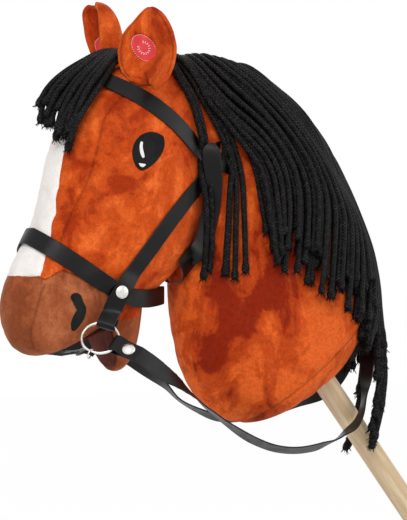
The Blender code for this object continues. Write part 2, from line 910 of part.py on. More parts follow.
# Ring at the mouth's corner: centre, its axes across and up, and where the straps fold round it
RING_CENTRE = (-349.6, -54, 130)
RING_ACROSS = (0.866, -0.5, 0.0)
RING_UP = (0.308, 0.533, 0.788)
TAB_ANGLE = math.radians(70.0)  # from across towards up
REIN_ANGLE = math.radians(-28.0)
JUMP_ANGLE = math.radians(-118.0)
JUMP_SWING = math.radians(50.0)  # of the small ring, inward round the wire
TAB_LENGTH = 12.0 * MM
REIN_FOLD_LENGTH = 24.0 * MM
REIN_RIVET_AT = 13.0 * MM

# The reins, one strap: from the near ring under the neck, round behind it, to the far ring
REIN_NEAR = (
    (-292, -46, 103),
    (-276, -46, 91),
    (-258, -45, 79),
    (-243, -44, 67),
    (-226, -43, 55),
    (-202, -41, 40),
    (-170, -38, 24),
    (-138, -35, 14),
    (-106, -32, 12),
    (-70, -28, 18),
    (-44, -25, 31),
    (-31, -23, 45),
    (-23, -19, 68),
    (-15, -11, 100),
    (-10, 0, 135),
)
REIN_FAR = (
    (-14, 12, 128),
    (-19, 22, 102),
    (-28, 28, 80),
    (-46, 29, 66),
    (-75, 30, 58),
    (-104, 32, 50),
    (-142, 38, 43),
    (-165, 41, 44),
    (-187, 43, 50),
    (-208, 44, 59),
    (-228, 45, 72),
    (-249, 46, 87),
    (-270, 47, 98),
    (-292, 47, 108),
)
REIN_FACING = (-0.5, -0.866, 0.0)
# Share of the length, and degrees that the strap has turned from facing that way
REIN_TURNS = (
    (0.00, -33),
    (0.04, -36),
    (0.08, -50),
    (0.12, -78),
    (0.16, -98),
    (0.24, -113),
    (0.32, -112),
    (0.355, -92),
    (0.38, -72),
    (0.42, -80),
    (0.46, -45),
    (0.50, 0),
    (0.55, 10),
    (0.60, -30),
    (0.68, -50),
    (0.76, -60),
    (0.83, -80),
    (0.90, -38),
    (0.96, -22),
    (1.00, -18),
)

# Seam along the crest of the neck, x and z in millimetres
CREST = (
    (-262, 402),
    (-240, 401),
    (-215, 399),
    (-190, 395),
    (-165, 385),
    (-140, 372),
    (-115, 352),
    (-92, 328),
    (-70, 298),
    (-52, 268),
    (-43, 249),
)

# How the mane's cords hang on the near side, from the poll to the withers: where each guide
# starts along the crest (as a share of it), then its points in millimetres
MANE_GUIDES = (
    (0.00, (
        (-256, -35, 385), (-245, -42, 360), (-230, -38, 322),
        (-223, -38, 283), (-221, -38, 243), (-224, -38, 193),
    )),
    (0.17, (
        (-220, -28, 388), (-204, -42, 357), (-184, -47, 327),
        (-168, -51, 298), (-162, -55, 255), (-158, -59, 209),
    )),
    (0.37, (
        (-149, -24, 384), (-143, -32, 362), (-132, -40, 325),
        (-124, -48, 279), (-124, -57, 224), (-129, -62, 172),
    )),
    (0.57, (
        (-104, -24, 342), (-101, -33, 310), (-97, -41, 264),
        (-95, -48, 220), (-95, -53, 192), (-96, -57, 168),
    )),
    (0.74, (
        (-74, -24, 300), (-70, -31, 268), (-65, -38, 230),
        (-60, -42, 196), (-58, -45, 172), (-58, -47, 148),
    )),
    (0.88, (
        (-50, -24, 262), (-47, -29, 234), (-38, -33, 198),
        (-28, -34, 164), (-24, -35, 138), (-24, -36, 118),
    )),
    (1.00, (
        (-30, -14, 238), (-16, -11, 208), (-2, -9, 178),
        (4, -10, 155), (7, -12, 132), (8, -14, 110),
    )),
)
CORDS_NEAR = 25
CORDS_FAR = 20
LOCKS_NEAR = 5
LOCKS_FAR = 4

# Forelock, two layers: outer guides on the near and on the far side, in millimetres
FORELOCK_ROOT = (-288, 397.6)
FORELOCK_CORDS = 5
FORELOCK_PITCH = 5.0 * MM
FORELOCK = {
    "lower": (
        ((-310, -12, 398), (-331, -30, 380), (-352, -35, 354), (-366, -33, 331), (-371, -30, 305)),
        ((-313, 8, 399), (-338, 14, 388), (-361, 16, 376), (-378, 12, 356), (-385, 3, 324)),
    ),
    "upper": (
        ((-308, -10, 407), (-331, -22, 391), (-354, -25, 373), (-370, -22, 348), (-377, -18, 318)),
        ((-312, 8, 410), (-338, 6, 400), (-362, 8, 386), (-383, 10, 370), (-393, 12, 352)),
    ),
}


def ring_axes(side):
    """Centre, across, up and normal of a rein ring."""
    flip = -1 if side == "far" else 1
    across = Vector((RING_ACROSS[0], RING_ACROSS[1] * flip, RING_ACROSS[2])).normalized()
    up = Vector((RING_UP[0], RING_UP[1] * flip, RING_UP[2])).normalized()
    normal = across.cross(up).normalized() * flip
    x, y, z = RING_CENTRE
    return at(x, z, y * flip), across, up, normal


def on_ring(side, angle):
    """A place on the wire, the direction out from the centre there, and the ring's normal."""
    centre, across, up, normal = ring_axes(side)
    radial = across * math.cos(angle) + up * math.sin(angle)
    return centre + radial * (RING_DIAMETER - RING_WIRE) / 2, radial, normal


def fold_sections(wire, radial, normal, lengths):
    """Sections of a strap that comes in above the wire, turns round it and goes back below."""
    side = radial.cross(normal).normalized()
    open_height = RING_WIRE / 2 + FOLD_CLEARANCE
    shut_height = GAP / 2
    mean_radius = (RING_DIAMETER - RING_WIRE) / 2
    bow = mean_radius - math.sqrt(mean_radius**2 - (STRAP_WIDTH / 2) ** 2)
    turn = wire - radial * (bow + RING_WIRE / 2 + 2 * GAP - open_height)

    def height(along):
        share = (along - FOLD_OPEN_TO) / (FOLD_SHUT_FROM - FOLD_OPEN_TO)
        return open_height + (shut_height - open_height) * min(max(share, 0.0), 1.0)

    legs = [*lengths, FOLD_SHUT_FROM, FOLD_OPEN_TO]
    made = []
    for along in legs:
        made.append((wire + radial * along + normal * height(along), side, normal))
    for angle in (90, 60, 30, 0, -30, -60, -90):
        turned_to = math.radians(angle)
        out = normal * math.sin(turned_to) - radial * math.cos(turned_to)
        made.append((turn + out * open_height, side, out))
    for along in reversed(legs[1:]):
        made.append((wire + radial * along - normal * height(along), side, -normal))
    return made


def torus(name, diameter, wire, segments, sides, matrix):
    bpy.ops.mesh.primitive_torus_add(
        major_radius=(diameter - wire) / 2,
        minor_radius=wire / 2,
        major_segments=segments,
        minor_segments=sides,
    )
    obj = bpy.context.object
    obj.name = name
    obj.data.name = name
    for collection in list(obj.users_collection):
        collection.objects.unlink(obj)
    PARTS.objects.link(obj)
    obj.data.materials.append(STEEL)
    obj.matrix_world = matrix
    obj.data.shade_smooth()
    return obj


def hang(obj, holder):
    """Hang a piece on a joint's empty and leave it where it is."""
    bpy.context.view_layer.update()
    world = obj.matrix_world.copy()
    obj.parent = holder
    obj.matrix_parent_inverse = holder.matrix_world.inverted()
    obj.matrix_world = world


def frame_matrix(origin, across, up, normal):
    rows = Matrix((across, up, normal)).transposed().to_4x4()
    return Matrix.Translation(origin) @ rows


def make_ring_set(side):
    """The rein ring with its small ring and the folded rein end, on the hinge of the cheek tab."""
    centre, across, up, normal = ring_axes(side)
    hinge_at, radial, _ = on_ring(side, TAB_ANGLE)
    holder = bpy.data.objects.new("ring_hinge_" + side, None)
    PARTS.objects.link(holder)
    holder.matrix_world = frame_matrix(hinge_at, radial.cross(normal), radial, normal)
    bpy.context.view_layer.update()
    plane = frame_matrix(centre, across, up, across.cross(up))
    ring = torus("rein_ring_" + side, RING_DIAMETER, RING_WIRE, 28, 6, plane)

    link_at, link_out, _ = on_ring(side, JUMP_ANGLE)
    link_radius = (JUMP_RING_DIAMETER - JUMP_RING_WIRE) / 2
    link_out = link_out * math.cos(JUMP_SWING) - normal * math.sin(JUMP_SWING)
    link_centre = link_at + link_out * (link_radius - (JUMP_RING_WIRE + RING_WIRE) / 2 - GAP)
    link_side = link_out.cross(normal).normalized()
    link_up = link_side.cross(link_out)
    link = frame_matrix(link_centre, link_out, link_up, link_side)
    small = torus("jump_ring_" + side, JUMP_RING_DIAMETER, JUMP_RING_WIRE, 14, 6, link)

    wire, out, _ = on_ring(side, REIN_ANGLE)
    sections = fold_sections(wire, out, normal, [REIN_FOLD_LENGTH, 0.75 * REIN_FOLD_LENGTH])
    end = strap("rein_end_" + side, sections, width=STRAP_WIDTH)
    seat = wire + out * REIN_RIVET_AT + normal * (GAP / 2 + STRAP_THICKNESS + 2 * GAP)
    pin = rivet("rein_rivet_" + side, seat, normal, 2 * STRAP_THICKNESS + 3 * GAP)
    drill(end, seat, normal, RIVET_SHANK / 2 + RIVET_CLEARANCE, 8 * MM)
    for obj in (ring, small, end, pin):
        hang(obj, holder)
    passing = link_side if link_side.z > 0 else -link_side
    return link_centre + link_out * 0.9 * MM, passing, link_out


def ring_tab(side):
    """The cheek strap's last sections, folded round the ring; the near side's order of travel."""
    wire, out, normal = on_ring(side, TAB_ANGLE)
    return fold_sections(wire, out, normal, [1.2 * TAB_LENGTH, TAB_LENGTH])


def outer_direction(skin, centre):
    """Square to the straps' outermost face at a place."""
    out = skin.forms_nearest(centre)[1]
    for _ in range(3):
        frame = facing(centre, out).to_3x3()
        found = []
        for k in range(6):
            angle = k * math.pi / 3
            step = frame @ Vector((math.cos(angle), math.sin(angle), 0)) * RIVET_DIAMETER * 0.4
            found.append(skin.cast(centre + step + out * RIVET_REACH, -out)[0])
        total = Vector()
        for a, b, c in zip(found, found[1:] + found[:1], found[2:] + found[:2]):
            total += (b - a).cross(c - b)
        total.normalize()
        out = total if total.dot(out) > 0 else -total
    return out


def make_bridle(skin, head_skin):
    """Straps laid one over the other, inner ones first, with their rivets."""
    loop = [*NOSEBAND, *((x, -y, z) for x, y, z in reversed(NOSEBAND[1:-1]))]
    nose = strap("noseband", laid(head_skin, loop, closed=True), closed=True)
    skin.add(nose)
    cheek = laid(skin, CHEEK_STRAP)
    tab = ring_tab("near")
    near_cheek = strap("cheek_strap_near", cheek + tab)
    far_cheek = mirrored(near_cheek, "cheek_strap_far")
    skin.add(near_cheek, far_cheek)
    brow = strap("browband", laid(skin, both_sides(list(BROWBAND))))
    skin.add(brow)
    throat = laid(skin, both_sides(list(THROATLATCH)), low=0.23)
    last = len(throat) - 1
    latch = strap("throatlatch", throat, tips=(0, last))
    skin.add(latch)

    stacks = {
        "upper": (UPPER_RIVET, (near_cheek, far_cheek, brow, latch)),
        "lower": (LOWER_RIVET, (nose, near_cheek, far_cheek)),
    }
    for level, ((x, y, z), layers) in stacks.items():
        for side, flip in (("near", 1), ("far", -1)):
            centre = at(x, z, y * flip)
            out = outer_direction(skin, centre)
            start = centre + out * RIVET_REACH
            reach = RIVET_DIAMETER / 2
            frame = facing(centre, out).to_3x3()
            rim = [Vector()] + [
                frame @ Vector((share * reach * math.cos(k), share * reach * math.sin(k), 0))
                for k in range(12)
                for share in (0.4, 0.7, 1.0, 1.1)
            ]
            top = max((skin.cast(start + step, -out)[0] - centre).dot(out) for step in rim)
            base = (skin.under(start, -out)[0] - centre).dot(out)
            seat = centre + out * (top + GAP)
            pin = rivet("rivet_" + level + "_" + side, seat, out, top - base - 0.4 * MM)
            skin.add(pin)
            for layer in layers:
                if layer.name.startswith("cheek") and not layer.name.endswith(side):
                    continue
                drill(layer, seat, out, RIVET_SHANK / 2 + RIVET_CLEARANCE, DRILL_REACH)
    return nose


def make_reins(ends):
    """One long strap; it twists as it hangs and passes behind the neck."""
    near = [at(x, z, y) for x, y, z in REIN_NEAR]
    far = [at(x, z, y) for x, y, z in REIN_FAR]
    starts = []
    for side in ("near", "far"):
        wire, out, normal = on_ring(side, REIN_ANGLE)
        starts.append((wire + out * (REIN_FOLD_LENGTH + 2 * GAP) + normal * (GAP / 2), out, normal))
    (start, out, normal), (finish, far_out, far_normal) = starts
    knots = [start, start + out * 10 * MM, *near, *far, finish + far_out * 10 * MM, finish]
    middles = smooth_path(knots, 14 * MM)
    directions = tangents(middles)
    directions[0] = out
    directions[-1] = -far_out
    lengths = [0.0]
    for a, b in zip(middles, middles[1:]):
        lengths.append(lengths[-1] + (b - a).length)
    facing_to = Vector(REIN_FACING)
    sections = []
    for middle, along, length in zip(middles, directions, lengths):
        share = length / lengths[-1]
        k = max(j for j in range(len(REIN_TURNS) - 1) if REIN_TURNS[j][0] <= share)
        (low, from_turn), (high, to_turn) = REIN_TURNS[k : k + 2]
        blend = (share - low) / (high - low)
        turn = math.radians(from_turn + (to_turn - from_turn) * blend)
        flat = facing_to.cross(along).normalized()
        side = flat * math.cos(turn) + facing_to * math.sin(turn)
        ends = min(share, 1 - share) / 0.04
        if ends < 1:
            edge = out.cross(normal) if share < 0.5 else -far_out.cross(far_normal)
            if edge.dot(side) < 0:
                edge.negate()
            side = edge.lerp(side, ends)
        side = (side - along * side.dot(along)).normalized()
        if sections and side.dot(sections[-1][1]) < 0:
            side.negate()
        sections.append((middle, side, side.cross(along).normalized()))
    return strap("reins", sections, thickness=REIN_THICKNESS)


def make_bit_strap(links):
    """Narrow strap through the mouth, from one small ring to the other."""
    (near_link, near_way, near_out), (far_link, far_way, far_out) = links
    route = [
        near_link - near_way * 4 * MM,
        near_link + near_way * 4 * MM,
        at(-362, 114, -34),
        at(-350, 114, -20),
        at(-344, 116, -6),
        at(-344, 116, 6),
        at(-350, 114, 20),
        at(-362, 114, 34),
        far_link + far_way * 4 * MM,
        far_link - far_way * 4 * MM,
    ]
    middles = smooth_path(route, 7 * MM)
    directions = tangents(middles)
    sections = []
    for k, (middle, along) in enumerate(zip(middles, directions)):
        from_end = min(k, len(middles) - 1 - k)
        out = near_out if k < len(middles) / 2 else far_out
        flat = Vector((0.9, 0, 0.43))
        edge = out.cross(directions[0] if out is near_out else directions[-1])
        if edge.dot(flat) < 0:
            edge.negate()
        side = edge.lerp(flat, min(max(from_end - 1, 0) / 3, 1.0))
        side = (side - along * side.dot(along)).normalized()
        sections.append((middle, side, side.cross(along).normalized()))
    return strap("bit_strap", sections, width=BIT_STRAP_WIDTH)


def comb(name, rows, paths, skin):
    """A slice of the mane's tape with one cord drawn out of each cell's outer side."""
    made = bmesh.new()
    corners = [[made.verts.new(point) for point in row] for row in rows]
    made.faces.new(corners[0])
    made.faces.new(corners[-1])
    for k, (low, high) in enumerate(zip(corners, corners[1:])):
        for j in (0, 2, 3):
            after = (j + 1) % 4
            made.faces.new((low[j], low[after], high[after], high[j]))
        ring = [low[1], high[1], high[2], low[2]]
        root = sum((vertex.co for vertex in ring), Vector()) / 4
        along_tape = (high[1].co - low[1].co).normalized()
        path = paths[k]
        directions = tangents([root, *path])
        for place, direction in zip(path, directions[1:]):
            out = skin.forms_nearest(place)[1]
            out = (out - direction * out.dot(direction)).normalized()
            across = direction.cross(out).normalized()
            if across.dot(along_tape) < 0:
                across.negate()
            along_tape = across
            half = CORD_THICKNESS / 2
            following = [
                made.verts.new(place + across * a * half + out * b * half)
                for a, b in ((-1, -1), (1, -1), (1, 1), (-1, 1))
            ]
            for j in range(4):
                after = (j + 1) % 4
                made.faces.new((ring[j], ring[after], following[after], following[j]))
            ring = following
        made.faces.new(ring)
    bmesh.ops.recalc_face_normals(made, faces=made.faces)
    mesh = bpy.data.meshes.new(name)
    made.to_mesh(mesh)
    made.free()
    return add(name, mesh, CORD)


def crest_point(share):
    points = [at(x, z) for x, z in CREST]
    fine = smooth_path(points, 4 * MM)
    return resampled(fine, 401)[round(share * 400)]


def crest_up(share):
    along = crest_point(min(share + 0.01, 1.0)) - crest_point(max(share - 0.01, 0.0))
    along.normalize()
    return Vector((-along.z, 0, along.x))


def tape_row(share, flip, skin):
    """Corners of the tape across the crest: inner bottom, outer bottom, outer top, inner top."""
    place = crest_point(share)
    up = crest_up(share)
    edges = [GAP / 2, GAP / 2 + TAPE_WIDTH]
    height = -1.0
    for y in (0.0, *edges, TAPE_WIDTH / 2):
        hit = skin.cast(place + Vector((0, -flip * y, 0)) + up * CAST_REACH, -up)
        if hit is not None:
            height = max(height, (hit[0] - place).dot(up))
    base = place + up * (height + TAPE_LIFT if height > -1.0 else 0.0)
    inner, outer = (Vector((0, -flip * y, 0)) for y in edges)
    top = up * TAPE_THICKNESS
    return [base + inner, base + outer, base + outer + top, base + inner + top]


def lifted(skin, path, lean=Vector()):
    """A cord's centre line, kept off the forms and the straps on them."""
    outward = [skin.forms_nearest(place)[1] + lean for place in path]
    outward = [vector.normalized() for vector in averaged(outward, 3)]
    half, stride = CORD_THICKNESS * 0.85, (path[-1] - path[0]).length / len(path) * 0.5
    rises = []
    for place, along, out in zip(path, tangents(path), outward):
        side = along.cross(out).normalized()
        offsets = [
            side * half * a + along * stride * b
            for a in (-1, 0, 1)
            for b in (-1, -0.5, 0, 0.5, 1)
        ]
        rises.append(rise_over(skin, place, out, CORD_LIFT, offsets, RIVET_REACH))
    rises = [rises[0], *eased(rises, 2)[1:]]
    return [place + out * up for place, out, up in zip(path, outward, rises)]


def guide_path(position, skin):
    """A cord's centre line at a position between the guides, kept off the forms and straps."""
    shares = [guide[0] for guide in MANE_GUIDES]
    k = max(j for j in range(len(shares) - 1) if shares[j] <= position + 1e-9)
    blend = (position - shares[k]) / (shares[k + 1] - shares[k])
    up = crest_up(position)
    start = crest_point(position) + up * CREST_RISE + Vector((0, -TAPE_WIDTH - 3 * MM, 0))
    pair = []
    for guide in MANE_GUIDES[k : k + 2]:
        points = [start, *(at(x, z, y) for x, y, z in guide[1])]
        pair.append(resampled(smooth_path(points, 8 * MM), CORD_POINTS))
    path = [a.lerp(b, blend) for a, b in zip(*pair)]
    return lifted(skin, path, Vector((0, -1.5, 0)))


def make_mane(skin):
    """Locks of cords on slices of tape along the crest, and their opposite numbers."""
    for side, flip, cords, locks in (
        ("near", 1, CORDS_NEAR, LOCKS_NEAR),
        ("far", -1, CORDS_FAR, LOCKS_FAR),
    ):
        each = cords // locks
        margin = 0.0015
        for lock in range(locks):
            first = lock * each
            rows, paths = [], []
            for k in range(each + 1):
                share = ((first + k) / cords) ** CREST_BIAS
                if k == 0:
                    share += margin
                if k == each:
                    share -= margin
                rows.append(tape_row(share, flip, skin))
            for k in range(each):
                share = ((first + k + 0.5) / cords) ** CREST_BIAS
                path = guide_path(share, skin)
                shorter = 1 - 0.06 * ((first + k) * 7 % 5) / 4
                path = resampled(path, 200)[: round(200 * shorter)]
                path = [path[0], *resampled(path, CORD_POINTS)[1:]]
                paths.append([Vector((p.x, p.y * flip, p.z)) for p in path])
            comb("mane_lock_" + side + "_" + str(lock + 1), rows, paths, skin)


def make_forelock(skin):
    x, z = FORELOCK_ROOT
    for layer, (name, (near_guide, far_guide)) in enumerate(FORELOCK.items()):
        lift = layer * (TAPE_THICKNESS + GAP)
        rows = []
        for k in range(FORELOCK_CORDS + 1):
            y = (k - FORELOCK_CORDS / 2) * FORELOCK_PITCH
            base = at(x, z) + Vector((0, y, lift))
            back = Vector((TAPE_WIDTH, 0, 0))
            top = Vector((0, 0, TAPE_THICKNESS))
            rows.append([base + back, base, base + top, base + back + top])
        paths = []
        for k in range(FORELOCK_CORDS):
            blend = k / (FORELOCK_CORDS - 1)
            near = resampled([at(px, pz, py) for px, py, pz in near_guide], 6)
            far = resampled([at(px, pz, py) for px, py, pz in far_guide], 6)
            path = [a.lerp(b, blend) for a, b in zip(near, far)]
            paths.append(lifted(skin, path))
        skin.add(comb("forelock_" + name, rows, paths, skin))


def make_face(skin):
    """Eyes and nostrils of black felt on both sides."""
    toward = Vector((0, 1, 0))
    eye = ((-279, 323), (-290, 326), (-302, 327), (-310, 322), (-314, 313), (-313, 304),
           (-309, 296), (-304, 290), (-296, 295), (-287, 303), (-280, 313))
    nostril = ((-372, 172), (-367, 169), (-362, 164), (-357, 155), (-355, 147), (-361, 140),
               (-366, 136), (-372, 141), (-376, 149), (-378, 157), (-376, 166))
    for name, outline in (("eye", eye), ("nostril", nostril)):
        near = projected_patch(name + "_near", skin, outline, toward, FELT)
        mirrored(near, name + "_far")


def build():
    make_stick()
    make_socket()
    head, whole, whole_head = make_forms()
    make_sound_box(head)
    make_lining()
    for side in ("near", "far"):
        make_ear(side, whole_head)
    skin = Skin(*whole)
    make_face(skin)
    head_skin = Skin(whole[0], whole[2])
    head_skin.add(make_blaze(skin))
    make_bridle(skin, head_skin)
    links = [make_ring_set(side) for side in ("near", "far")]
    make_bit_strap(links)
    make_reins(links)
    make_mane(skin)
    make_forelock(skin)


build()
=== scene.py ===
"""Looks of the hobby horse: plush head and neck, cord mane, strap bridle, wooden stick.

Units are metres, +Z is up, -X is where the nose points and -Y is the near side.
"""

import math
import random

import bmesh
import bpy
import numpy as np
from mathutils import Euler, Matrix, Vector
from mathutils.bvhtree import BVHTree
from mathutils.kdtree import KDTree


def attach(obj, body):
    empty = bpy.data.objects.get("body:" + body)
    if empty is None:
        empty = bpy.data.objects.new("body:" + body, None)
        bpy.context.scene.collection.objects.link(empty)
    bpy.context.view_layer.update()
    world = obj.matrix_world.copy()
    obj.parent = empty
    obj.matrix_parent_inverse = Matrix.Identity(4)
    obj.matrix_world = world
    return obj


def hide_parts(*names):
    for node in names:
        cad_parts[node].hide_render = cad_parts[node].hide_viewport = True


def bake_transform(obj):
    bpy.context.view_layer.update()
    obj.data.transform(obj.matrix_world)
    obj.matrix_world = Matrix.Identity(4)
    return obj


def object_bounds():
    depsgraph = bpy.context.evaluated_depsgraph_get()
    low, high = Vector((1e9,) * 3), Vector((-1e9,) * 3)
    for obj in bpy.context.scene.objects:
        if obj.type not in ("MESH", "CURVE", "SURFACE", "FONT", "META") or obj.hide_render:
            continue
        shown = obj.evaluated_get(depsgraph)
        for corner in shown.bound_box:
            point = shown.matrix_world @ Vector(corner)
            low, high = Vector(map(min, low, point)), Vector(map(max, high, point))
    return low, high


MM = 0.001

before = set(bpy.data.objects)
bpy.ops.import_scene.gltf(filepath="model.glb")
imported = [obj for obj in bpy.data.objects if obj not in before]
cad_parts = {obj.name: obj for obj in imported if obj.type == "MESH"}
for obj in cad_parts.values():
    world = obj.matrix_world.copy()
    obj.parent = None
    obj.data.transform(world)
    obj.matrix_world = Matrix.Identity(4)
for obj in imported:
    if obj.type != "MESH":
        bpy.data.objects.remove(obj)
cad_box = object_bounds()
bpy.ops.object.select_all(action="DESELECT")


def at(x, y, z):
    """A point given in millimetres."""
    return Vector((x, y, z)) * MM


# Camera, from the near side and a little ahead of it

AIM = Vector((-0.205, 0.0, 0.204))
CAMERA_DISTANCE = 2.4
CAMERA_SWING = math.radians(30)
FRAME_HEIGHT = 0.520  # seen at the aim, from top to bottom
SENSOR = 36
SEARCH_STEP = 8 * MM  # between the places tried where a view ray passes the plush by

# From the aim to the camera, and across the frame
BACK = Vector((-math.sin(CAMERA_SWING), -math.cos(CAMERA_SWING), 0))
RIGHT = Vector((math.cos(CAMERA_SWING), -math.sin(CAMERA_SWING), 0))
EYE_POINT = AIM + CAMERA_DISTANCE * BACK
FRAME_CENTRE = (203.5, 260)


def sighted(tree, across, down):
    """The place seen at a point of the frame, given from its upper left corner in mm at the aim."""
    up = Vector((0, 0, (FRAME_CENTRE[1] - down) * MM))
    mark = AIM + RIGHT * (across - FRAME_CENTRE[0]) * MM + up
    view = (mark - EYE_POINT).normalized()
    place, normal, _, _ = tree.ray_cast(EYE_POINT, view)
    if place is None:
        steps = [CAMERA_DISTANCE + k * SEARCH_STEP for k in range(-25, 26)]
        tried = (tree.find_nearest(EYE_POINT + view * step) for step in steps)
        place, normal = min(tried, key=lambda hit: hit[3])[:2]
    return place, normal


def set_camera():
    bpy.ops.object.camera_add(location=EYE_POINT)
    camera = bpy.context.object
    camera.rotation_euler = (-BACK).to_track_quat("-Z", "Y").to_euler()
    camera.data.sensor_width = SENSOR
    camera.data.lens = SENSOR * CAMERA_DISTANCE / FRAME_HEIGHT
    bpy.context.scene.camera = camera


set_camera()


# Materials

# What every look puts out
LOOK = (("Color", "NodeSocketColor"), ("Roughness", "NodeSocketFloat"), ("Height", "NodeSocketFloat"))


def shader_group(name, *inputs):
    """A node group with named inputs, each a name, a kind and a value: its tree, inputs and last node."""
    tree = bpy.data.node_groups.new(name, "ShaderNodeTree")
    for label, kind, value in (("Place", "Vector", (0, 0, 0)), *inputs):
        socket = tree.interface.new_socket(label, in_out="INPUT", socket_type="NodeSocket" + kind)
        socket.default_value = value
    for label, kind in LOOK:
        tree.interface.new_socket(label, in_out="OUTPUT", socket_type=kind)
    return tree, tree.nodes.new("NodeGroupInput").outputs, tree.nodes.new("NodeGroupOutput")


def wire(tree, target, *sources):
    """Connect the outputs of a look to the last node of its group."""
    for (label, _), source in zip(LOOK, sources):
        tree.links.new(source, target.inputs[label])


def node(tree, kind, wires=None, **settings):
    """A node; a setting is a property, or the value of an input, and a wire is where an input comes from."""
    made = tree.nodes.new(kind)
    for name, value in settings.items():
        if hasattr(made, name):
            setattr(made, name, value)
        else:
            made.inputs[name].default_value = value
    for name, source in (wires or {}).items():
        tree.links.new(source, made.inputs[name])
    return made


def noise(tree, place, scale, detail=4.0, roughness=0.55, distortion=0.0):
    settings = {"Scale": scale, "Detail": detail, "Roughness": roughness, "Distortion": distortion}
    return node(tree, "ShaderNodeTexNoise", {"Vector": place}, **settings).outputs["Fac"]


def between(tree, value, low, high, to_low=0.0, to_high=1.0):
    """A smooth step of a value."""
    numbers = dict(zip(("From Min", "From Max", "To Min", "To Max"), (low, high, to_low, to_high)))
    made = node(tree, "ShaderNodeMapRange", {"Value": value}, interpolation_type="SMOOTHSTEP", **numbers)
    return made.outputs["Result"]


def math_node(tree, operation, a, b):
    made = node(tree, "ShaderNodeMath", operation=operation)
    for k, item in enumerate((a, b)):
        if isinstance(item, (int, float)):
            made.inputs[k].default_value = item
        else:
            tree.links.new(item, made.inputs[k])
    return made.outputs["Value"]


def times(tree, a, b):
    return math_node(tree, "MULTIPLY", a, b)


def plus(tree, a, b):
    return math_node(tree, "ADD", a, b)


def mix_colour(tree, share, a, b):
    made = node(tree, "ShaderNodeMix", data_type="RGBA")
    for socket, item in ((made.inputs["Factor"], share), (made.inputs[6], a), (made.inputs[7], b)):
        if isinstance(item, (int, float)):
            socket.default_value = item
        elif isinstance(item, tuple):
            socket.default_value = (*item, 1.0)
        else:
            tree.links.new(item, socket)
    return made.outputs[2]


def nap_group():
    """Short plush: brushed light and dark patches with painted light and shade laid over them, a fine grain,
    and painted shade along seams and creases.
    """
    tree, given, result = shader_group(
        "Plush nap",
        ("Shaded", "Color", (0.4, 0.03, 0.004, 1)),
        ("Plain", "Color", (0.56, 0.07, 0.012, 1)),
        ("Brushed", "Color", (0.8, 0.15, 0.035, 1)),
        ("Crush", "Float", 0.5),
        ("Grain", "Float", 1.0),
        ("Seam", "Float", 0.0),
        ("Light and nap", "Float", 0.0),
    )
    place = given["Place"]
    settings = {"Rotation": (0.3, 0.9, 0.2), "Scale": (1.0, 1.0, 0.55)}
    streaks = node(tree, "ShaderNodeMapping", {"Vector": place}, **settings).outputs["Vector"]
    swirl = noise(tree, streaks, 17.0, 6.0, 0.62, 1.1)
    brush = noise(tree, place, 44.0, 5.0, 0.6, 0.8)
    # The rise attribute brings painted light and shade, with some of the pile's own crushed patches, into the
    # lift
    lift = plus(tree, plus(tree, times(tree, swirl, 0.7), times(tree, brush, 0.3)), given["Light and nap"])
    dark = times(tree, between(tree, lift, 0.50, 0.41), given["Crush"])
    bright = times(tree, between(tree, lift, 0.50, 0.60), 0.75)
    colour = mix_colour(tree, dark, given["Plain"], given["Shaded"])
    colour = mix_colour(tree, bright, colour, given["Brushed"])
    fine = noise(tree, place, 620.0, 3.0, 0.7)
    tufts = noise(tree, place, 210.0, 3.0, 0.6)
    grain = plus(tree, times(tree, fine, 0.6), times(tree, tufts, 0.4))
    speck = plus(tree, times(tree, between(tree, grain, 0.36, 0.62, -0.2, 0.12), given["Grain"]), 1.0)
    scaled = node(tree, "ShaderNodeVectorMath", {0: colour, "Scale": speck}, operation="SCALE")
    # Painted shade along seams, wrinkles and creases, from the seam attribute
    colour = mix_colour(
        tree, times(tree, given["Seam"], 0.55), scaled.outputs["Vector"], (0.05, 0.008, 0.002)
    )
    wire(tree, result, colour, between(tree, brush, 0.3, 0.7, 0.95, 0.75), grain)
    return tree


def leather_group():
    """Coated strap: a fine pebble grain and dull scuffs."""
    tree, given, result = shader_group(
        "Strap grain",
        ("Base", "Color", (0.02, 0.018, 0.018, 1)),
        ("Scuff", "Color", (0.05, 0.045, 0.043, 1)),
    )
    pebble = node(tree, "ShaderNodeTexVoronoi", {"Vector": given["Place"]}, Scale=1100.0)
    scuffs = noise(tree, given["Place"], 60.0, 6.0, 0.65, 0.6)
    colour = mix_colour(tree, between(tree, scuffs, 0.5, 0.72), given["Base"], given["Scuff"])
    wire(tree, result, colour, between(tree, scuffs, 0.3, 0.7, 0.30, 0.44), pebble.outputs["Distance"])
    return tree


def wear_group():
    """Plated metal: brushed variation and small dull spots."""
    tree, given, result = shader_group(
        "Plating",
        ("Base", "Color", (0.78, 0.76, 0.72, 1)),
        ("Dull", "Color", (0.5, 0.48, 0.45, 1)),
    )
    spots = noise(tree, given["Place"], 380.0, 4.0, 0.6)
    colour = mix_colour(tree, between(tree, spots, 0.55, 0.75), given["Base"], given["Dull"])
    wire(tree, result, colour, between(tree, spots, 0.3, 0.75, 0.16, 0.42), spots)
    return tree


NAP = nap_group()
LEATHER = leather_group()
PLATING = wear_group()


def new_material(name):
    """A material, its tree and its shader."""
    made = bpy.data.materials.new(name)
    made.use_nodes = True
    return made, made.node_tree, made.node_tree.nodes["Principled BSDF"]


def cover(tree, shader, colour, roughness, height, bump, distance):
    """Connect a look to the shader, its height as a bump."""
    relief = node(tree, "ShaderNodeBump", {"Height": height}, Strength=bump, Distance=distance)
    tree.links.new(colour, shader.inputs["Base Color"])
    tree.links.new(roughness, shader.inputs["Roughness"])
    tree.links.new(relief.outputs["Normal"], shader.inputs["Normal"])


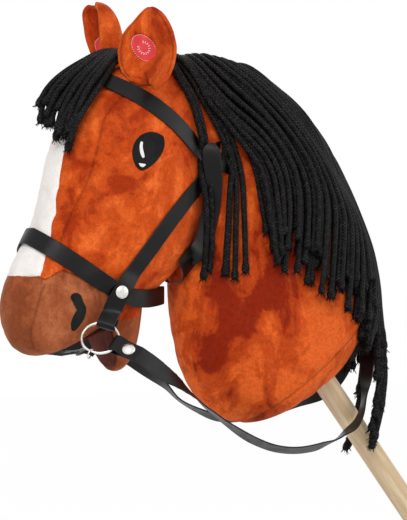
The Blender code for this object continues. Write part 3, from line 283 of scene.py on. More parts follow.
def finish(name, group, values, bump, distance, attributes=None, **shader_values):
    """A material made from one of the groups, with its own values."""
    made, tree, shader = new_material(name)
    for socket, value in shader_values.items():
        shader.inputs[socket.replace("_", " ")].default_value = value
    look = node(tree, "ShaderNodeGroup", node_tree=group)
    for socket, value in values.items():
        look.inputs[socket].default_value = value
    place = node(tree, "ShaderNodeTexCoord")
    tree.links.new(place.outputs["Object"], look.inputs["Place"])
    for label, socket in (attributes or {}).items():
        mark = node(tree, "ShaderNodeAttribute", attribute_name=label)
        tree.links.new(mark.outputs["Fac"], look.inputs[socket])
    cover(tree, shader, *(look.outputs[label] for label, _ in LOOK), bump, distance)
    return made


def plush(name, shaded, plain, brushed, crush, sheen, tint, grain=1.0):
    colours = {"Shaded": (*shaded, 1), "Plain": (*plain, 1), "Brushed": (*brushed, 1)}
    return finish(
        name, NAP, {**colours, "Crush": crush, "Grain": grain}, 0.5, 0.0012, {"seam": "Seam", "rise": "Light and nap"},
        Sheen_Weight=sheen, Sheen_Roughness=0.45, Sheen_Tint=(*tint, 1), Specular_IOR_Level=0.15,
    )


CHESTNUT = plush(
    "chestnut_plush", (0.33, 0.022, 0.0015), (0.60, 0.074, 0.007), (0.90, 0.165, 0.025),
    0.8, 0.2, (1.0, 0.4, 0.12)
)
# The same chestnut plush as the head, made darker: painted shade on the neck
SHADED_NECK_PLUSH = plush(
    "chestnut_plush_neck_shaded", (0.27, 0.016, 0.001), (0.52, 0.058, 0.005), (0.84, 0.14, 0.02),
    1.0, 0.2, (1.0, 0.4, 0.12)
)
BROWN = plush(
    "brown_plush", (0.22, 0.045, 0.012), (0.36, 0.090, 0.030), (0.50, 0.155, 0.062),
    0.7, 0.2, (1.0, 0.6, 0.35)
)
WHITE = plush(
    "white_plush", (0.93, 0.86, 0.82), (0.98, 0.93, 0.89), (1.0, 0.96, 0.93), 0.6, 0.1, (1.0, 1.0, 1.0), 0.25
)
LINING = plush(
    "mouth_lining", (0.06, 0.012, 0.007), (0.13, 0.028, 0.018), (0.17, 0.04, 0.026),
    0.7, 0.05, (1.0, 0.6, 0.5)
)
FELT = plush(
    "black_felt", (0.006, 0.005, 0.005), (0.011, 0.010, 0.010), (0.018, 0.017, 0.017),
    0.6, 0.05, (1, 1, 1), 0.6
)
RED = plush(
    "red_patch", (0.62, 0.03, 0.035), (0.80, 0.065, 0.07), (0.88, 0.11, 0.11), 0.4, 0.1, (1.0, 0.7, 0.7), 0.4
)
THREAD = plush(
    "white_thread", (0.70, 0.66, 0.62), (0.86, 0.84, 0.82), (0.93, 0.92, 0.9), 0.3, 0.1, (1, 1, 1), 0.2
)
STRAP = finish(
    "black_strap", LEATHER, {"Base": (0.003, 0.0025, 0.0025, 1), "Scuff": (0.006, 0.005, 0.005, 1)},
    0.25, 0.0003, Specular_IOR_Level=0.22,
)
STEEL = finish("nickel", PLATING, {}, 0.05, 0.0002, Metallic=1.0)
PLASTIC = finish(
    "grey_plastic", LEATHER, {"Base": (0.11, 0.11, 0.115, 1), "Scuff": (0.16, 0.16, 0.165, 1)}, 0.1, 0.0002
)


def cord_material():
    """Black braid: two sets of yarns that cross, with a painted highlight where they turn outward."""
    made, tree, shader = new_material("black_cord")
    shader.inputs["Specular IOR Level"].default_value = 0.12
    uv = node(tree, "ShaderNodeUVMap", uv_map="braid")
    parts = node(tree, "ShaderNodeSeparateXYZ", {"Vector": uv.outputs["UV"]})
    around = times(tree, parts.outputs["X"], 4 * math.tau)
    along = times(tree, parts.outputs["Y"], math.tau)
    left = math_node(tree, "SINE", plus(tree, around, along), 0)
    right = math_node(tree, "SINE", math_node(tree, "SUBTRACT", around, along), 0)
    height = between(tree, math_node(tree, "MAXIMUM", left, right), 0.35, 1.0)
    highlight_speckle = noise(tree, node(tree, "ShaderNodeTexCoord").outputs["Object"], 260.0, 4.0, 0.6)
    # Painted highlight on the yarn crests, broken up by a noise
    lit = times(tree, height, between(tree, highlight_speckle, 0.35, 0.7))
    colour = mix_colour(tree, lit, (0.003, 0.0028, 0.0028), (0.05, 0.045, 0.044))
    cover(tree, shader, colour, between(tree, highlight_speckle, 0.3, 0.7, 0.5, 0.75), height, 0.9, 0.0008)
    return made


CORD = cord_material()
STICK_LEAN = math.radians(37.9)
GRAIN_STRETCH = 14


def wood_material():
    """Pale straight-grained dowel."""
    made, tree, shader = new_material("pale_wood")
    place = node(tree, "ShaderNodeTexCoord").outputs["Object"]
    turn = node(
        tree, "ShaderNodeMapping", {"Vector": place}, vector_type="TEXTURE", Rotation=(0, -STICK_LEAN, 0)
    )
    turn.inputs["Scale"].default_value = (1, 1, GRAIN_STRETCH)
    grain = noise(tree, turn.outputs["Vector"], 160.0, 6.0, 0.6, 0.6)
    broad = noise(tree, turn.outputs["Vector"], 40.0, 3.0, 0.5, 0.4)
    colour = mix_colour(tree, between(tree, grain, 0.35, 0.68), (0.60, 0.43, 0.25), (0.76, 0.61, 0.41))
    colour = mix_colour(tree, between(tree, broad, 0.55, 0.75, 0.0, 0.5), colour, (0.56, 0.38, 0.21))
    cover(tree, shader, colour, between(tree, grain, 0.3, 0.7, 0.55, 0.7), grain, 0.2, 0.0004)
    return made


WOOD = wood_material()


# Making and joining meshes


def activate(obj):
    bpy.ops.object.select_all(action="DESELECT")
    obj.select_set(True)
    bpy.context.view_layer.objects.active = obj
    return obj


def add(name, mesh, *materials):
    obj = bpy.data.objects.new(name, mesh)
    bpy.context.scene.collection.objects.link(obj)
    for one in materials:
        mesh.materials.append(one)
    return obj


def written(made, mesh):
    """Put the worked faces into a mesh, smooth-shaded."""
    made.to_mesh(mesh)
    made.free()
    mesh.shade_smooth()
    return mesh


def mesh_of(obj):
    made = bmesh.new()
    made.from_mesh(obj.data)
    return made


def from_bmesh(name, made, *materials):
    bmesh.ops.recalc_face_normals(made, faces=made.faces)
    return add(name, written(made, bpy.data.meshes.new(name)), *materials)


def quad_row(made, low, high, closed=True, flip=False):
    """Faces between two rows of corners."""
    count = len(low)
    faces = []
    for k in range(count if closed else count - 1):
        after = (k + 1) % count
        corners = (low[k], high[k], high[after], low[after]) if flip else (
            low[k], low[after], high[after], high[k]
        )
        faces.append(made.faces.new(corners))
    return faces


def quad_rows(made, rows, closed=True, flip=False):
    for low, high in zip(rows, rows[1:]):
        quad_row(made, low, high, closed, flip)


def capped(made, rings):
    """Faces between the rings, and one on each end."""
    quad_rows(made, rings)
    made.faces.new(rings[0])
    made.faces.new(rings[-1])


def fan(made, hub, ring, flip=False):
    for k, corner in enumerate(ring):
        after = ring[(k + 1) % len(ring)]
        made.faces.new((corner, hub, after) if flip else (hub, corner, after))


def mirrored(vector):
    return Vector((vector.x, -vector.y, vector.z))


def eased(share):
    return share * share * (3 - 2 * share)


def clamped(share):
    return min(max(share, 0.0), 1.0)


def apply_all(obj):
    activate(obj)
    for modifier in list(obj.modifiers):
        bpy.ops.object.modifier_apply(modifier=modifier.name)


def smooth_path(points, step):
    """Points about a step apart on a smooth curve through the given ones."""
    knots = [points[0], *points, points[-1]]
    made = []
    for before, start, end, after in zip(knots, knots[1:], knots[2:], knots[3:]):
        steps = max(1, round((end - start).length / step))
        second = 2 * before - 5 * start + 4 * end - after
        third = 3 * start - before - 3 * end + after
        for k in range(steps):
            t = k / steps
            made.append(0.5 * (2 * start + (end - before) * t + second * t**2 + third * t**3))
    return made + [points[-1].copy()]


def distances_along(points):
    lengths = [0.0]
    for a, b in zip(points, points[1:]):
        lengths.append(lengths[-1] + (b - a).length)
    return lengths


def resampled(points, count):
    """The same route with a given number of points, evenly spaced along it."""
    lengths = distances_along(points)
    made, i = [], 0
    for k in range(count):
        want = lengths[-1] * k / (count - 1)
        while i < len(points) - 2 and lengths[i + 1] < want:
            i += 1
        span = max(lengths[i + 1] - lengths[i], 1e-9)
        made.append(points[i].lerp(points[i + 1], min((want - lengths[i]) / span, 1.0)))
    return made


def length_of(points):
    return sum((b - a).length for a, b in zip(points, points[1:]))


def tangents(points):
    ends = [points[0], *points, points[-1]]
    return [(after - before).normalized() for before, after in zip(ends, ends[2:])]


def softened(vectors, rounds):
    for _ in range(rounds):
        inner = [(a + 2 * b + c) / 4 for a, b, c in zip(vectors, vectors[1:], vectors[2:])]
        vectors = [vectors[0], *inner, vectors[-1]]
    return vectors


def tree_of(*objects):
    """One search tree over several meshes, in the shared frame."""
    corners, faces = [], []
    for obj in objects:
        base = len(corners)
        corners += [obj.matrix_world @ vertex.co for vertex in obj.data.vertices]
        faces += [tuple(base + index for index in face.vertices) for face in obj.data.polygons]
    return BVHTree.FromPolygons(corners, faces)


def pushed_out(tree, point, lift):
    """The point, moved out of the surface until it stands clear of it."""
    place, normal, _, _ = tree.find_nearest(point)
    if place is None:
        return point
    height = (point - place).dot(normal)
    return point + normal * (lift - height) if height < lift else point


# Cords of the mane

CORD_RADIUS = 2.9 * MM
CORD_SIDES = 8
CORD_STEP = 3.2 * MM
BRAID_PITCH = 3.4 * MM
TAPE_RADIUS = 4.6 * MM
KNOT_LENGTH = 3.0  # in cord radii
KNOT_SWELL = 0.42
FRAY_COUNT = 9
FRAY_WIDTH = 0.55 * MM
GUIDE_POINTS = 60
CORD_POINTS = 48
FINE_POINTS = 200
WANDER = 3.2 * MM  # how far a cord's tip strays from its guide
SETTLE_REACH = 22 * MM
GUIDE_STRAIGHT = 0.7  # the share of a cord on which it passes from its root's guide to its tip's

# The outermost cords on the near side, from the poll to the withers, in millimetres
MANE_GUIDES = (
    (
        (-250, -4, 403), (-258, -36, 385), (-240, -46, 350), (-231, -49, 308),
        (-228, -49, 279), (-225, -47, 236), (-226, -43, 190),
    ),
    (
        (-240, -4, 403), (-240, -26, 388), (-224, -40, 361), (-207, -44, 332),
        (-201, -46, 293), (-203, -46, 253), (-208, -46, 187),
    ),
    (
        (-225, -4, 402), (-222, -28, 385), (-207, -42, 357), (-189, -47, 327),
        (-174, -51, 298), (-168, -54, 263), (-159, -59, 211),
    ),
    (
        (-205, -4, 399), (-195, -24, 388), (-178, -32, 378), (-161, -42, 343),
        (-147, -50, 299), (-143, -56, 254), (-148, -61, 208),
    ),
    (
        (-180, -4, 393), (-167, -8, 404), (-136, -25, 374), (-113, -35, 329),
        (-104, -46, 279), (-111, -58, 224), (-118, -62, 172),
    ),
    (
        (-133, -4, 373), (-122, -10, 374), (-98, -22, 350), (-80, -32, 304),
        (-67, -38, 255), (-73, -50, 214), (-79, -56, 172),
    ),
    (
        (-98, -4, 340), (-88, -10, 344), (-68, -20, 314), (-55, -28, 264),
        (-45, -37, 214), (-46, -42, 182), (-48, -45, 152),
    ),
    (
        (-75, -4, 312), (-66, -10, 318), (-50, -18, 286), (-36, -24, 234),
        (-30, -26, 194), (-32, -28, 162), (-38, -30, 131),
    ),
    (
        (-57, -4, 284), (-48, -8, 290), (-31, -14, 257), (-14, -18, 209),
        (-5, -18, 164), (-2, -18, 126), (-2, -18, 89),
    ),
    (
        (-46, -4, 258), (-36, -8, 262), (-18, -10, 229), (-2, -12, 174),
        (-1, -12, 114), (0, -18, 65), (-16, -20, 13),
    ),
)


def guide_lines():
    return [
        resampled(smooth_path([at(*place) for place in guide], 8 * MM), GUIDE_POINTS) for guide in MANE_GUIDES
    ]


GUIDE_LINES = guide_lines()


def guide_path(root, tip):
    """A line that leaves the crest at one place between the guides and ends at another."""
    made = []
    for k in range(GUIDE_POINTS):
        share = min(k / (GUIDE_POINTS - 1) / GUIDE_STRAIGHT, 1.0)
        position = root + (tip - root) * eased(share)
        low = min(int(position), len(GUIDE_LINES) - 2)
        made.append(GUIDE_LINES[low][k].lerp(GUIDE_LINES[low + 1][k], position - low))
    return made


def cord_rings(made, uv, path, radius):
    """A round braided cord along a path, with a knot at its lower end; gives the rings' centres."""
    path = resampled(path, max(8, round(length_of(path) / CORD_STEP)))
    directions = tangents(path)
    side = directions[0].cross(Vector((0.3, 0.5, 0.8))).normalized()
    rings = []
    knot = KNOT_LENGTH * radius / CORD_STEP
    for k, (place, along) in enumerate(zip(path, directions)):
        side = (side - along * side.dot(along)).normalized()
        up = along.cross(side)
        from_end = len(path) - 1 - k
        swell = 1.0
        if from_end <= knot:
            swell = 1.0 + KNOT_SWELL * math.sin(math.pi * min(from_end / knot, 1.0))
        if k == 0:
            swell = 0.9
        ring = []
        for j in range(CORD_SIDES):
            angle = math.tau * j / CORD_SIDES
            ring.append(
                made.verts.new(place + (side * math.cos(angle) + up * math.sin(angle)) * (radius * swell))
            )
        rings.append(ring)
    pitch = BRAID_PITCH / CORD_STEP
    for k, (low, high) in enumerate(zip(rings, rings[1:])):
        for j, face in enumerate(quad_row(made, low, high)):
            corners = ((j, k), (j + 1, k), (j + 1, k + 1), (j, k + 1))
            for loop, (a, b) in zip(face.loops, corners):
                loop[uv].uv = (a / CORD_SIDES, b / pitch)
    made.faces.new(rings[0])
    made.faces.new(rings[-1])
    return path


def frays(made, end, along, radius, dice):
    """Loose yarns that spread from the knot."""
    side = along.orthogonal().normalized()
    up = along.cross(side)
    for k in range(FRAY_COUNT):
        angle = math.tau * (k + dice.random()) / FRAY_COUNT
        out = (side * math.cos(angle) + up * math.sin(angle)).normalized()
        lean = out * dice.uniform(0.5, 1.3) + along
        root = end + out * radius * 0.55 - along * radius * 0.3
        tip = root + lean.normalized() * dice.uniform(3.5, 6.5) * MM
        across = lean.cross(along).normalized() * FRAY_WIDTH
        over = lean.cross(across).normalized() * FRAY_WIDTH
        base = [made.verts.new(root + step) for step in (across, over, -across, -over)]
        top = [made.verts.new(tip + step * 0.35) for step in (across, over, -across, -over)]
        quad_row(made, base, top)
        made.faces.new(top)
        made.faces.new(base)


def cord_object(name, paths, radius, frayed=()):
    """Cords joined in one mesh, with frayed yarns at the ends of some paths; gives the ring centres too."""
    made = bmesh.new()
    uv = made.loops.layers.uv.new("braid")
    lines = [cord_rings(made, uv, path, radius) for path in paths]
    for path, dice in frayed:
        frays(made, path[-1], (path[-1] - path[-3]).normalized(), radius, dice)
    return from_bmesh(name, made, CORD), lines


def laid_cord(tree, path, lift):
    """A cord's path pushed off what lies under it, then evened out."""
    for _ in range(3):
        path = [path[0]] + [pushed_out(tree, point, lift) for point in path[1:]]
        path = softened(path, 2)
    return path


def mane_cord(under, root, tip, layer, flip, dice):
    """The path of one cord; the lower layers lie closer to the plush."""
    path = guide_path(root, tip)
    wander = [dice.uniform(-1, 1) * WANDER for _ in range(3)]
    wander = Vector((wander[0], wander[1] * 0.5, wander[2]))
    path = [point + wander * (k / len(path)) for k, point in enumerate(path)]
    path.append(path[-1] + (path[-1] - path[-4]).normalized() * (16 if tip > FIRST_LOCK else 8) * MM)
    drop = dice.uniform(0.02, 0.07) if tip > TAIL else dice.uniform(0.0, 0.19 if tip > FIRST_LOCK else 0.1)
    path = resampled(path, FINE_POINTS)[: round(FINE_POINTS * (1 - drop))]
    path = [Vector((place.x, place.y * flip, place.z)) for place in resampled(path, CORD_POINTS)]
    lift = CORD_RADIUS * (1.1 + 1.8 * layer)
    if layer == 0:
        path = [settled_in(under, place, lift) for place in path]
    return resampled(laid_cord(under, path, lift), CORD_POINTS)


def settled_in(tree, point, lift):
    """A point of the under layer, drawn in towards the plush where it lies close to it."""
    place, normal, _, _ = tree.find_nearest(point)
    height = (point - place).dot(normal)
    return place + normal * max(lift, height - 2 * CORD_RADIUS) if height < SETTLE_REACH else point


# Where each loose cord leaves the crest and where it ends, counted along the guides, and its layer
LOOSE_CORDS = ((-0.1, -0.15, 0.3), (0.5, 0.95, 0.5), (0.8, 1.25, 0.3), (1.0, 1.42, 0.3))
FIRST_LOCK = 1.9  # cords that end before this hang loose behind the cheek
TAIL = 8.8
LAST_GUIDE = 9.0


def stepped(first, last, step):
    """Numbers a step apart, from the first up to the last."""
    while first < last:
        yield first
        first += step


def mane_cords(side):
    """All the cords of one side: (root, tip, layer, whether it is a piece of its own)."""
    near = side == "near"
    cords = [(root, tip, layer, near) for root, tip, layer in LOOSE_CORDS]
    cords += [(0.1, 0.1, 0.3, False), (0.6, 0.9, 0.2, False)] if near else []
    cords += [
        (max(tip - 0.1, 0.2), tip, 0, False) for tip in stepped(1.95, LAST_GUIDE, 0.155 if near else 0.22)
    ]
    cords += [
        (0.5 + (tip - 2) * 1.15, tip, 1, False) for tip in stepped(2.0, LAST_GUIDE, 0.23 if near else 0.5)
    ]
    for tip in stepped(2.1, LAST_GUIDE + 0.01, 0.3 if near else 0.7):
        cords.append((0.2 + (tip - 2) * 1.12, tip, 1.6, near or tip > 7))
    return cords + [(7.6 + 0.17 * k, 8.5 + 0.065 * k, 0.6 + 0.5 * (k % 3), False) for k in range(9)]


def declare_hanging(piece, line):
    tuple(line[0])
    length_of(line)
    [tuple(point) for point in line]


def make_mane(under):
    """The tape along the crest, and the cords of both sides, most of them joined in locks."""
    roots = smooth_path([at(guide[0][0], 0, guide[0][2] + 1) for guide in MANE_GUIDES], 8 * MM)
    tape, _ = cord_object("crest_tape", [roots], TAPE_RADIUS)
    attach(tape, "horse")
    dice = random.Random(7)
    for side, flip, locks in (("near", 1, 5), ("far", -1, 4)):
        groups = [[] for _ in range(locks)]
        ends = [[] for _ in range(locks)]
        alone = 0
        for root, tip, layer, single in mane_cords(side):
            path = mane_cord(under, root, tip, layer, flip, dice)
            lock = min(int(tip / LAST_GUIDE * locks), locks - 1)
            ends[lock].append((path, dice))
            if not single:
                groups[lock].append(path)
                continue
            alone += 1
            piece, lines = cord_object("mane_cord_%s_%02d" % (side, alone), [path], CORD_RADIUS)
            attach(piece, "horse")
            declare_hanging(piece, lines[0])
        for lock, paths in enumerate(groups):
            piece, _ = cord_object("mane_%s_%d" % (side, lock + 1), paths, CORD_RADIUS, ends[lock])
            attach(piece, "horse")
            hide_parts("mane_lock_%s_%d" % (side, lock + 1))


FORELOCK_GUIDES = {
    "lower": (
        (
            (-284, -12, 402), (-310, -14, 399), (-331, -30, 380), (-352, -35, 354), (-366, -33, 331),
            (-371, -30, 305),
        ),
        ((-284, 12, 402), (-313, 8, 399), (-338, 14, 388), (-361, 16, 376), (-378, 12, 356), (-385, 3, 324)),
    ),
    "upper": (
        (
            (-284, -10, 408), (-308, -12, 407), (-330, -26, 391), (-350, -31, 371), (-364, -30, 344),
            (-371, -26, 304),
        ),
        ((-284, 10, 408), (-312, 8, 410), (-335, 6, 400), (-356, 8, 388), (-375, 10, 371), (-385, 12, 348)),
    ),
}


FORELOCK_CORDS = 7
FORELOCK_POINTS = 40


def make_forelock(under):
    """Two layers of cords that fall from the poll over the blaze."""
    dice = random.Random(3)
    for layer, (name, guides) in enumerate(FORELOCK_GUIDES.items()):
        lines = (smooth_path([at(*point) for point in guide], 6 * MM) for guide in guides)
        near, far = (resampled(line, FORELOCK_POINTS) for line in lines)
        paths = []
        for k in range(FORELOCK_CORDS):
            share = k / (FORELOCK_CORDS - 1)
            path = [a.lerp(b, share) for a, b in zip(near, far)]
            shift = Vector([dice.uniform(-2, 2) * MM for _ in range(3)])
            path = [point + shift * (i / FORELOCK_POINTS) for i, point in enumerate(path)]
            cut = round(FORELOCK_POINTS * (1 - dice.uniform(0, 0.14) - 0.05 * share * layer))
            path = resampled(path[:cut], 30)
            paths.append(laid_cord(under, path, CORD_RADIUS * (1.1 + 1.2 * layer)))
        piece, _ = cord_object(
            "forelock_%s_cords" % name, paths, CORD_RADIUS, [(path, dice) for path in paths]
        )
        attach(piece, "horse")
        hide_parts("forelock_" + name)


FORM_SIDES = 8
# Stuffed forms, as sections from end to end: front x and z, back x and z, half width, in millimetres

NECK_SECTIONS = (
    (-116, 50, -64, 84, 20),
    (-158, 36, -32, 108, 40),
    (-205, 54, -16, 146, 54),
    (-235, 104, -16, 182, 60),
    (-244, 178, -32, 240, 59),
    (-242, 256, -84, 316, 50),
    (-244, 322, -146, 376, 42),
    (-256, 360, -196, 397, 36),
    (-258, 382, -228, 399, 20),
)
HEAD_SECTIONS = (
    (-252, 400, -222, 382, 22),
    (-290, 397, -206, 350, 40),
    (-336, 384, -206, 300, 52),
    (-366, 338, -211, 240, 57),
    (-378, 288, -240, 190, 56),
    (-388, 240, -286, 160, 49),
    (-410, 205, -314, 143, 44),
    (-426, 172, -338, 130, 43),
    (-425, 139, -354, 112, 37),
    (-410, 115, -380, 106, 22),
)
JAW_SECTIONS = (
    (-340, 176, -278, 184, 34),
    (-338, 150, -281, 154, 35),
    (-331, 124, -285, 128, 31),
    (-322, 105, -291, 108, 23),
    (-313, 94, -301, 95, 11),
)
# Seams and cuts across the forms: a place on each, x and z in millimetres, and its direction
BASE_SEAM = ((-95, 94), (0.789, 0.614))
MUZZLE_SEAM = ((-420, 193), (0.95, -0.31))
PALATE = ((-400, 109), (0.929, 0.371))
JAW_LINING = ((-325, 139), (0.322, -0.947))
LIP_SEAM = ((-330, 142), (0.98, 0.20))
# Width of the painted shade along a seam
SEAM_SHADE_WIDTH = 0.9 * MM
PRESSURE = 3.0
PUFF_STEPS = 14


def section_ring(front_x, front_z, back_x, back_z, half_width):
    """Cage points of one section; the smoothed surface passes through its ends and sides."""
    front, back = at(front_x, 0, front_z), at(back_x, 0, back_z)
    centre, radius = (front + back) / 2, (front - back) / 2
    step = math.tau / FORM_SIDES
    swell = 6 / (4 + 2 * math.cos(step))
    side = Vector((0, -half_width * MM, 0))
    return [
        centre + swell * (math.cos(k * step) * radius + math.sin(k * step) * side) for k in range(FORM_SIDES)
    ]


def stuffed_form(name, sections, material):
    made = bmesh.new()
    capped(made, [[made.verts.new(point) for point in section_ring(*section)] for section in sections])
    return subdivided(from_bmesh(name, made, material), 3)


def plane_of(seam):
    """A point on the plane and its normal, which points up from the seam's direction."""
    (x, z), (along_x, along_z) = seam
    along = Vector((along_x, 0, along_z)).normalized()
    return at(x, 0, z), Vector((-along.z, 0, along.x))


def plane_cut(obj, seam, keep_above, inset=0.15 * MM, clear=True):
    """Keep one side of a plane and close the cut, or only draw the plane's line on the mesh."""
    point, normal = plane_of(seam)
    if not keep_above:
        normal = -normal
    made = mesh_of(obj)
    cut = bmesh.ops.bisect_plane(
        made, geom=made.verts[:] + made.edges[:] + made.faces[:], plane_co=point + normal * inset,
        plane_no=normal, clear_inner=clear,
    )
    if clear:
        edges = [item for item in cut["geom_cut"] if isinstance(item, bmesh.types.BMEdge)]
        bmesh.ops.contextual_create(made, geom=edges)
        bmesh.ops.recalc_face_normals(made, faces=made.faces)
    written(made, obj.data)


def remeshed(obj, size):
    activate(obj)
    obj.data.remesh_voxel_size = size
    bpy.ops.object.voxel_remesh()
    obj.data.shade_smooth()


def puffed(obj, held, cap):
    """Blow the form up a little with cloth simulation; the held corners stay as sewn."""
    rest = corners_of(obj)
    seams = obj.vertex_groups.new(name="seams")
    seams.add([int(k) for k in held], 1.0, "REPLACE")
    cloth = obj.modifiers.new("Cloth", "CLOTH")
    cloth.settings.vertex_group_mass = "seams"
    cloth.settings.quality = 4
    cloth.settings.mass = 0.3
    cloth.settings.use_pressure = True
    cloth.settings.uniform_pressure_force = PRESSURE
    cloth.settings.effector_weights.gravity = 0.0
    cloth.settings.shrink_min = -0.015
    cloth.collision_settings.use_collision = False
    scene = bpy.context.scene
    for step in range(1, PUFF_STEPS + 1):
        scene.frame_set(step)
    apply_all(obj)
    scene.frame_set(1)
    moved = corners_of(obj) - rest
    reach = np.linalg.norm(moved, axis=1, keepdims=True)
    moved *= np.minimum(1.0, cap / np.maximum(reach, 1e-9))
    move_corners(obj, rest + moved)


def subdivided(obj, levels=1):
    smooth = obj.modifiers.new("Subdivision", "SUBSURF")
    smooth.levels = smooth.render_levels = levels
    apply_all(obj)
    return obj


def thickened(obj, thickness, offset):
    wall = obj.modifiers.new("Thickness", "SOLIDIFY")
    wall.thickness = thickness
    wall.offset = offset
    apply_all(obj)


def corners_of(obj):
    return np.array([vertex.co for vertex in obj.data.vertices])


def normals_of(obj):
    return np.array([vertex.normal for vertex in obj.data.vertices])


def move_corners(obj, points):
    obj.data.vertices.foreach_set("co", points.astype(np.float32).ravel())
    obj.data.update()


def draw_in(obj, share, depth):
    """Pull the surface in along its normals, by a share of a depth at each corner."""
    move_corners(obj, corners_of(obj) - normals_of(obj) * (share * depth)[:, None])


def distance_to_marks(points, marks):
    """How far each point lies from the nearest of some places."""
    tree = KDTree(len(marks))
    for k, mark in enumerate(marks):
        tree.insert(mark, k)
    tree.balance()
    return np.array([tree.find(point)[2] for point in points])


def distance_to_lines(points, lines):
    """How far each point lies from the nearest of some lines."""
    return distance_to_marks(points, [mark for line in lines for mark in smooth_path(line, 1.0 * MM)])


def distance_to_plane(points, seam):
    origin, normal = plane_of(seam)
    return np.abs((points - np.array(origin)) @ np.array(normal))


def give_attribute(obj, name, values):
    layer = obj.data.attributes.get(name) or obj.data.attributes.new(name, "FLOAT", "POINT")
    layer.data.foreach_set("value", np.asarray(values, dtype=np.float32))


def fading(distances, width):
    """1 on a line, and nearly 0 from twice the width away."""
    return np.exp(-((distances / width) ** 2))


def sew(obj, distances, depth, width):
    """Draw the surface in along a seam and mark it for the painted shade along the seam in the material."""
    draw_in(obj, fading(distances, width), depth)
    # Painted shade along the seam
    give_attribute(obj, "seam", fading(distances, SEAM_SHADE_WIDTH))


# Painted light and shade on the pile, with its own darker and brighter patches, as seen in the frame: across,
# down, reach and how much
HEAD_LIGHT_AND_NAP = (
    (85, 125, 30, 0.05), (128, 193, 19, -0.08), (112, 176, 10, -0.05), (88, 226, 15, -0.05),
    (168, 262, 26, 0.07), (190, 205, 18, 0.03), (112, 252, 12, 0.03), (150, 215, 14, 0.04),
)
MUZZLE_LIGHT_AND_NAP = (
    (18, 302, 18, -0.14), (28, 338, 14, -0.1), (60, 335, 18, 0.09), (74, 298, 16, 0.06), (8, 325, 10, -0.08),
)
NECK_LIGHT_AND_NAP = (
    (226, 300, 24, -0.09), (262, 302, 15, -0.07), (212, 345, 16, -0.09), (229, 393, 13, -0.08),
    (246, 332, 14, -0.05),
    (315, 335, 36, 0.07), (285, 388, 26, 0.06), (196, 318, 10, 0.04), (240, 235, 20, 0.03),
    (200, 385, 12, 0.03),
)
# Wrinkles where the cheek strap pulls on the muzzle, as seen in the frame
MUZZLE_WRINKLES = (
    ((78, 283), (82, 289), (88, 294)), ((90, 286), (94, 293), (97, 303)), ((99, 291), (101, 299), (101, 308)),
)


def wrinkle(obj, seen, depth, width):
    """Shallow folds along lines of the near side, repeated on the far side, with painted shade in the folds.
    """
    tree = tree_of(obj)
    lines = []
    for marks in seen:
        line = [sighted(tree, *mark)[0] for mark in marks]
        lines += [line, [mirrored(place) for place in line]]
    share = fading(distance_to_lines(corners_of(obj), lines), width)
    draw_in(obj, share, depth)
    seams = np.zeros(len(share), dtype=np.float32)
    obj.data.attributes["seam"].data.foreach_get("value", seams)
    # Painted shade in the folds
    give_attribute(obj, "seam", np.maximum(seams, share**2 * 0.5))


def brush(obj, areas):
    """Paint large darker and brighter areas on the pile, on both sides alike: partly painted light and shade,
    partly the pile's own crushed patches.
    """
    points = corners_of(obj)
    points[:, 1] = -np.abs(points[:, 1])
    seen = points - np.array(EYE_POINT)
    deep = -(seen @ np.array(BACK))
    across = FRAME_CENTRE[0] + seen @ np.array(RIGHT) / deep * CAMERA_DISTANCE / MM
    down = FRAME_CENTRE[1] - seen[:, 2] / deep * CAMERA_DISTANCE / MM
    rise = np.zeros(len(points))
    for x, y, reach, much in areas:
        rise += much * np.exp(-((across - x) ** 2 + (down - y) ** 2) / reach**2)
    give_attribute(obj, "rise", rise)


def both_sides(points):
    return [[at(x, y, z) for x, y, z in points], [at(x, -y, z) for x, y, z in points]]


FOREHEAD_SEAM = (
    (-300, -30, 385), (-312, -37, 367), (-335, -37, 342), (-345, -40, 311), (-356, -39, 278),
    (-371, -34, 247), (-392, -36, 205),
)
FRONT_SEAM = ((-399, -35, 181), (-406, -35, 163), (-409, -32, 147), (-410, -27, 135), (-405, -22, 118))


def on_surface(tree, lines):
    return [[tree.find_nearest(point)[0] for point in smooth_path(line, 6 * MM)] for line in lines]


# Where the muzzle panel climbs towards the noseband, as seen in the frame
MUZZLE_STEP = ((42, 281.5), (60, 271.5))
MUZZLE_RISE = 13 * MM


def muzzle_planes(tree):
    """Planes (point, normal) of the seam: low in front, then a step, then high at the cheeks."""
    low, up = plane_of(MUZZLE_SEAM)
    start, normal = sighted(tree, *MUZZLE_STEP[0])
    end, _ = sighted(tree, *MUZZLE_STEP[1])
    step = (end - start).cross(normal).normalized()
    if step.x > 0:
        step.negate()
    return (low, up), (low + up * MUZZLE_RISE, up), (start, step)


def in_muzzle(point, planes):
    """True for a place of the muzzle panel; the far side is like the near one."""
    near = Vector((point.x, -abs(point.y), point.z))
    low, high, step = ((near - origin).dot(normal) for origin, normal in planes)
    return low < 0 or (high < 0 and step < 0)


def cut_muzzle(form, planes):
    """Draw the seam of the muzzle into the mesh; gives the seam's places."""
    made = mesh_of(form)
    far_step = [(mirrored(origin), mirrored(normal)) for origin, normal in planes[2:]]
    for origin, normal in (*planes, *far_step):
        bmesh.ops.bisect_plane(
            made, geom=made.verts[:] + made.edges[:] + made.faces[:], plane_co=origin, plane_no=normal
        )
    marks = []
    for edge in made.edges:
        sides = {in_muzzle(face.calc_center_median(), planes) for face in edge.link_faces}
        if len(sides) == 2:
            marks += [vertex.co.copy() for vertex in edge.verts]
    written(made, form.data)
    return marks


def take_part(form, name, material, wanted):
    """A closed piece made of the wanted faces of a form."""
    made = mesh_of(form)
    rest = [face for face in made.faces if not wanted(face.calc_center_median())]
    bmesh.ops.delete(made, geom=rest, context="FACES")
    rim = [edge for edge in made.edges if edge.is_boundary]
    closed = bmesh.ops.contextual_create(made, geom=rim)
    bmesh.ops.triangulate(made, faces=closed["faces"])
    mesh = written(made, bpy.data.meshes.new(name))
    mesh.materials.clear()
    return add(name, mesh, material)


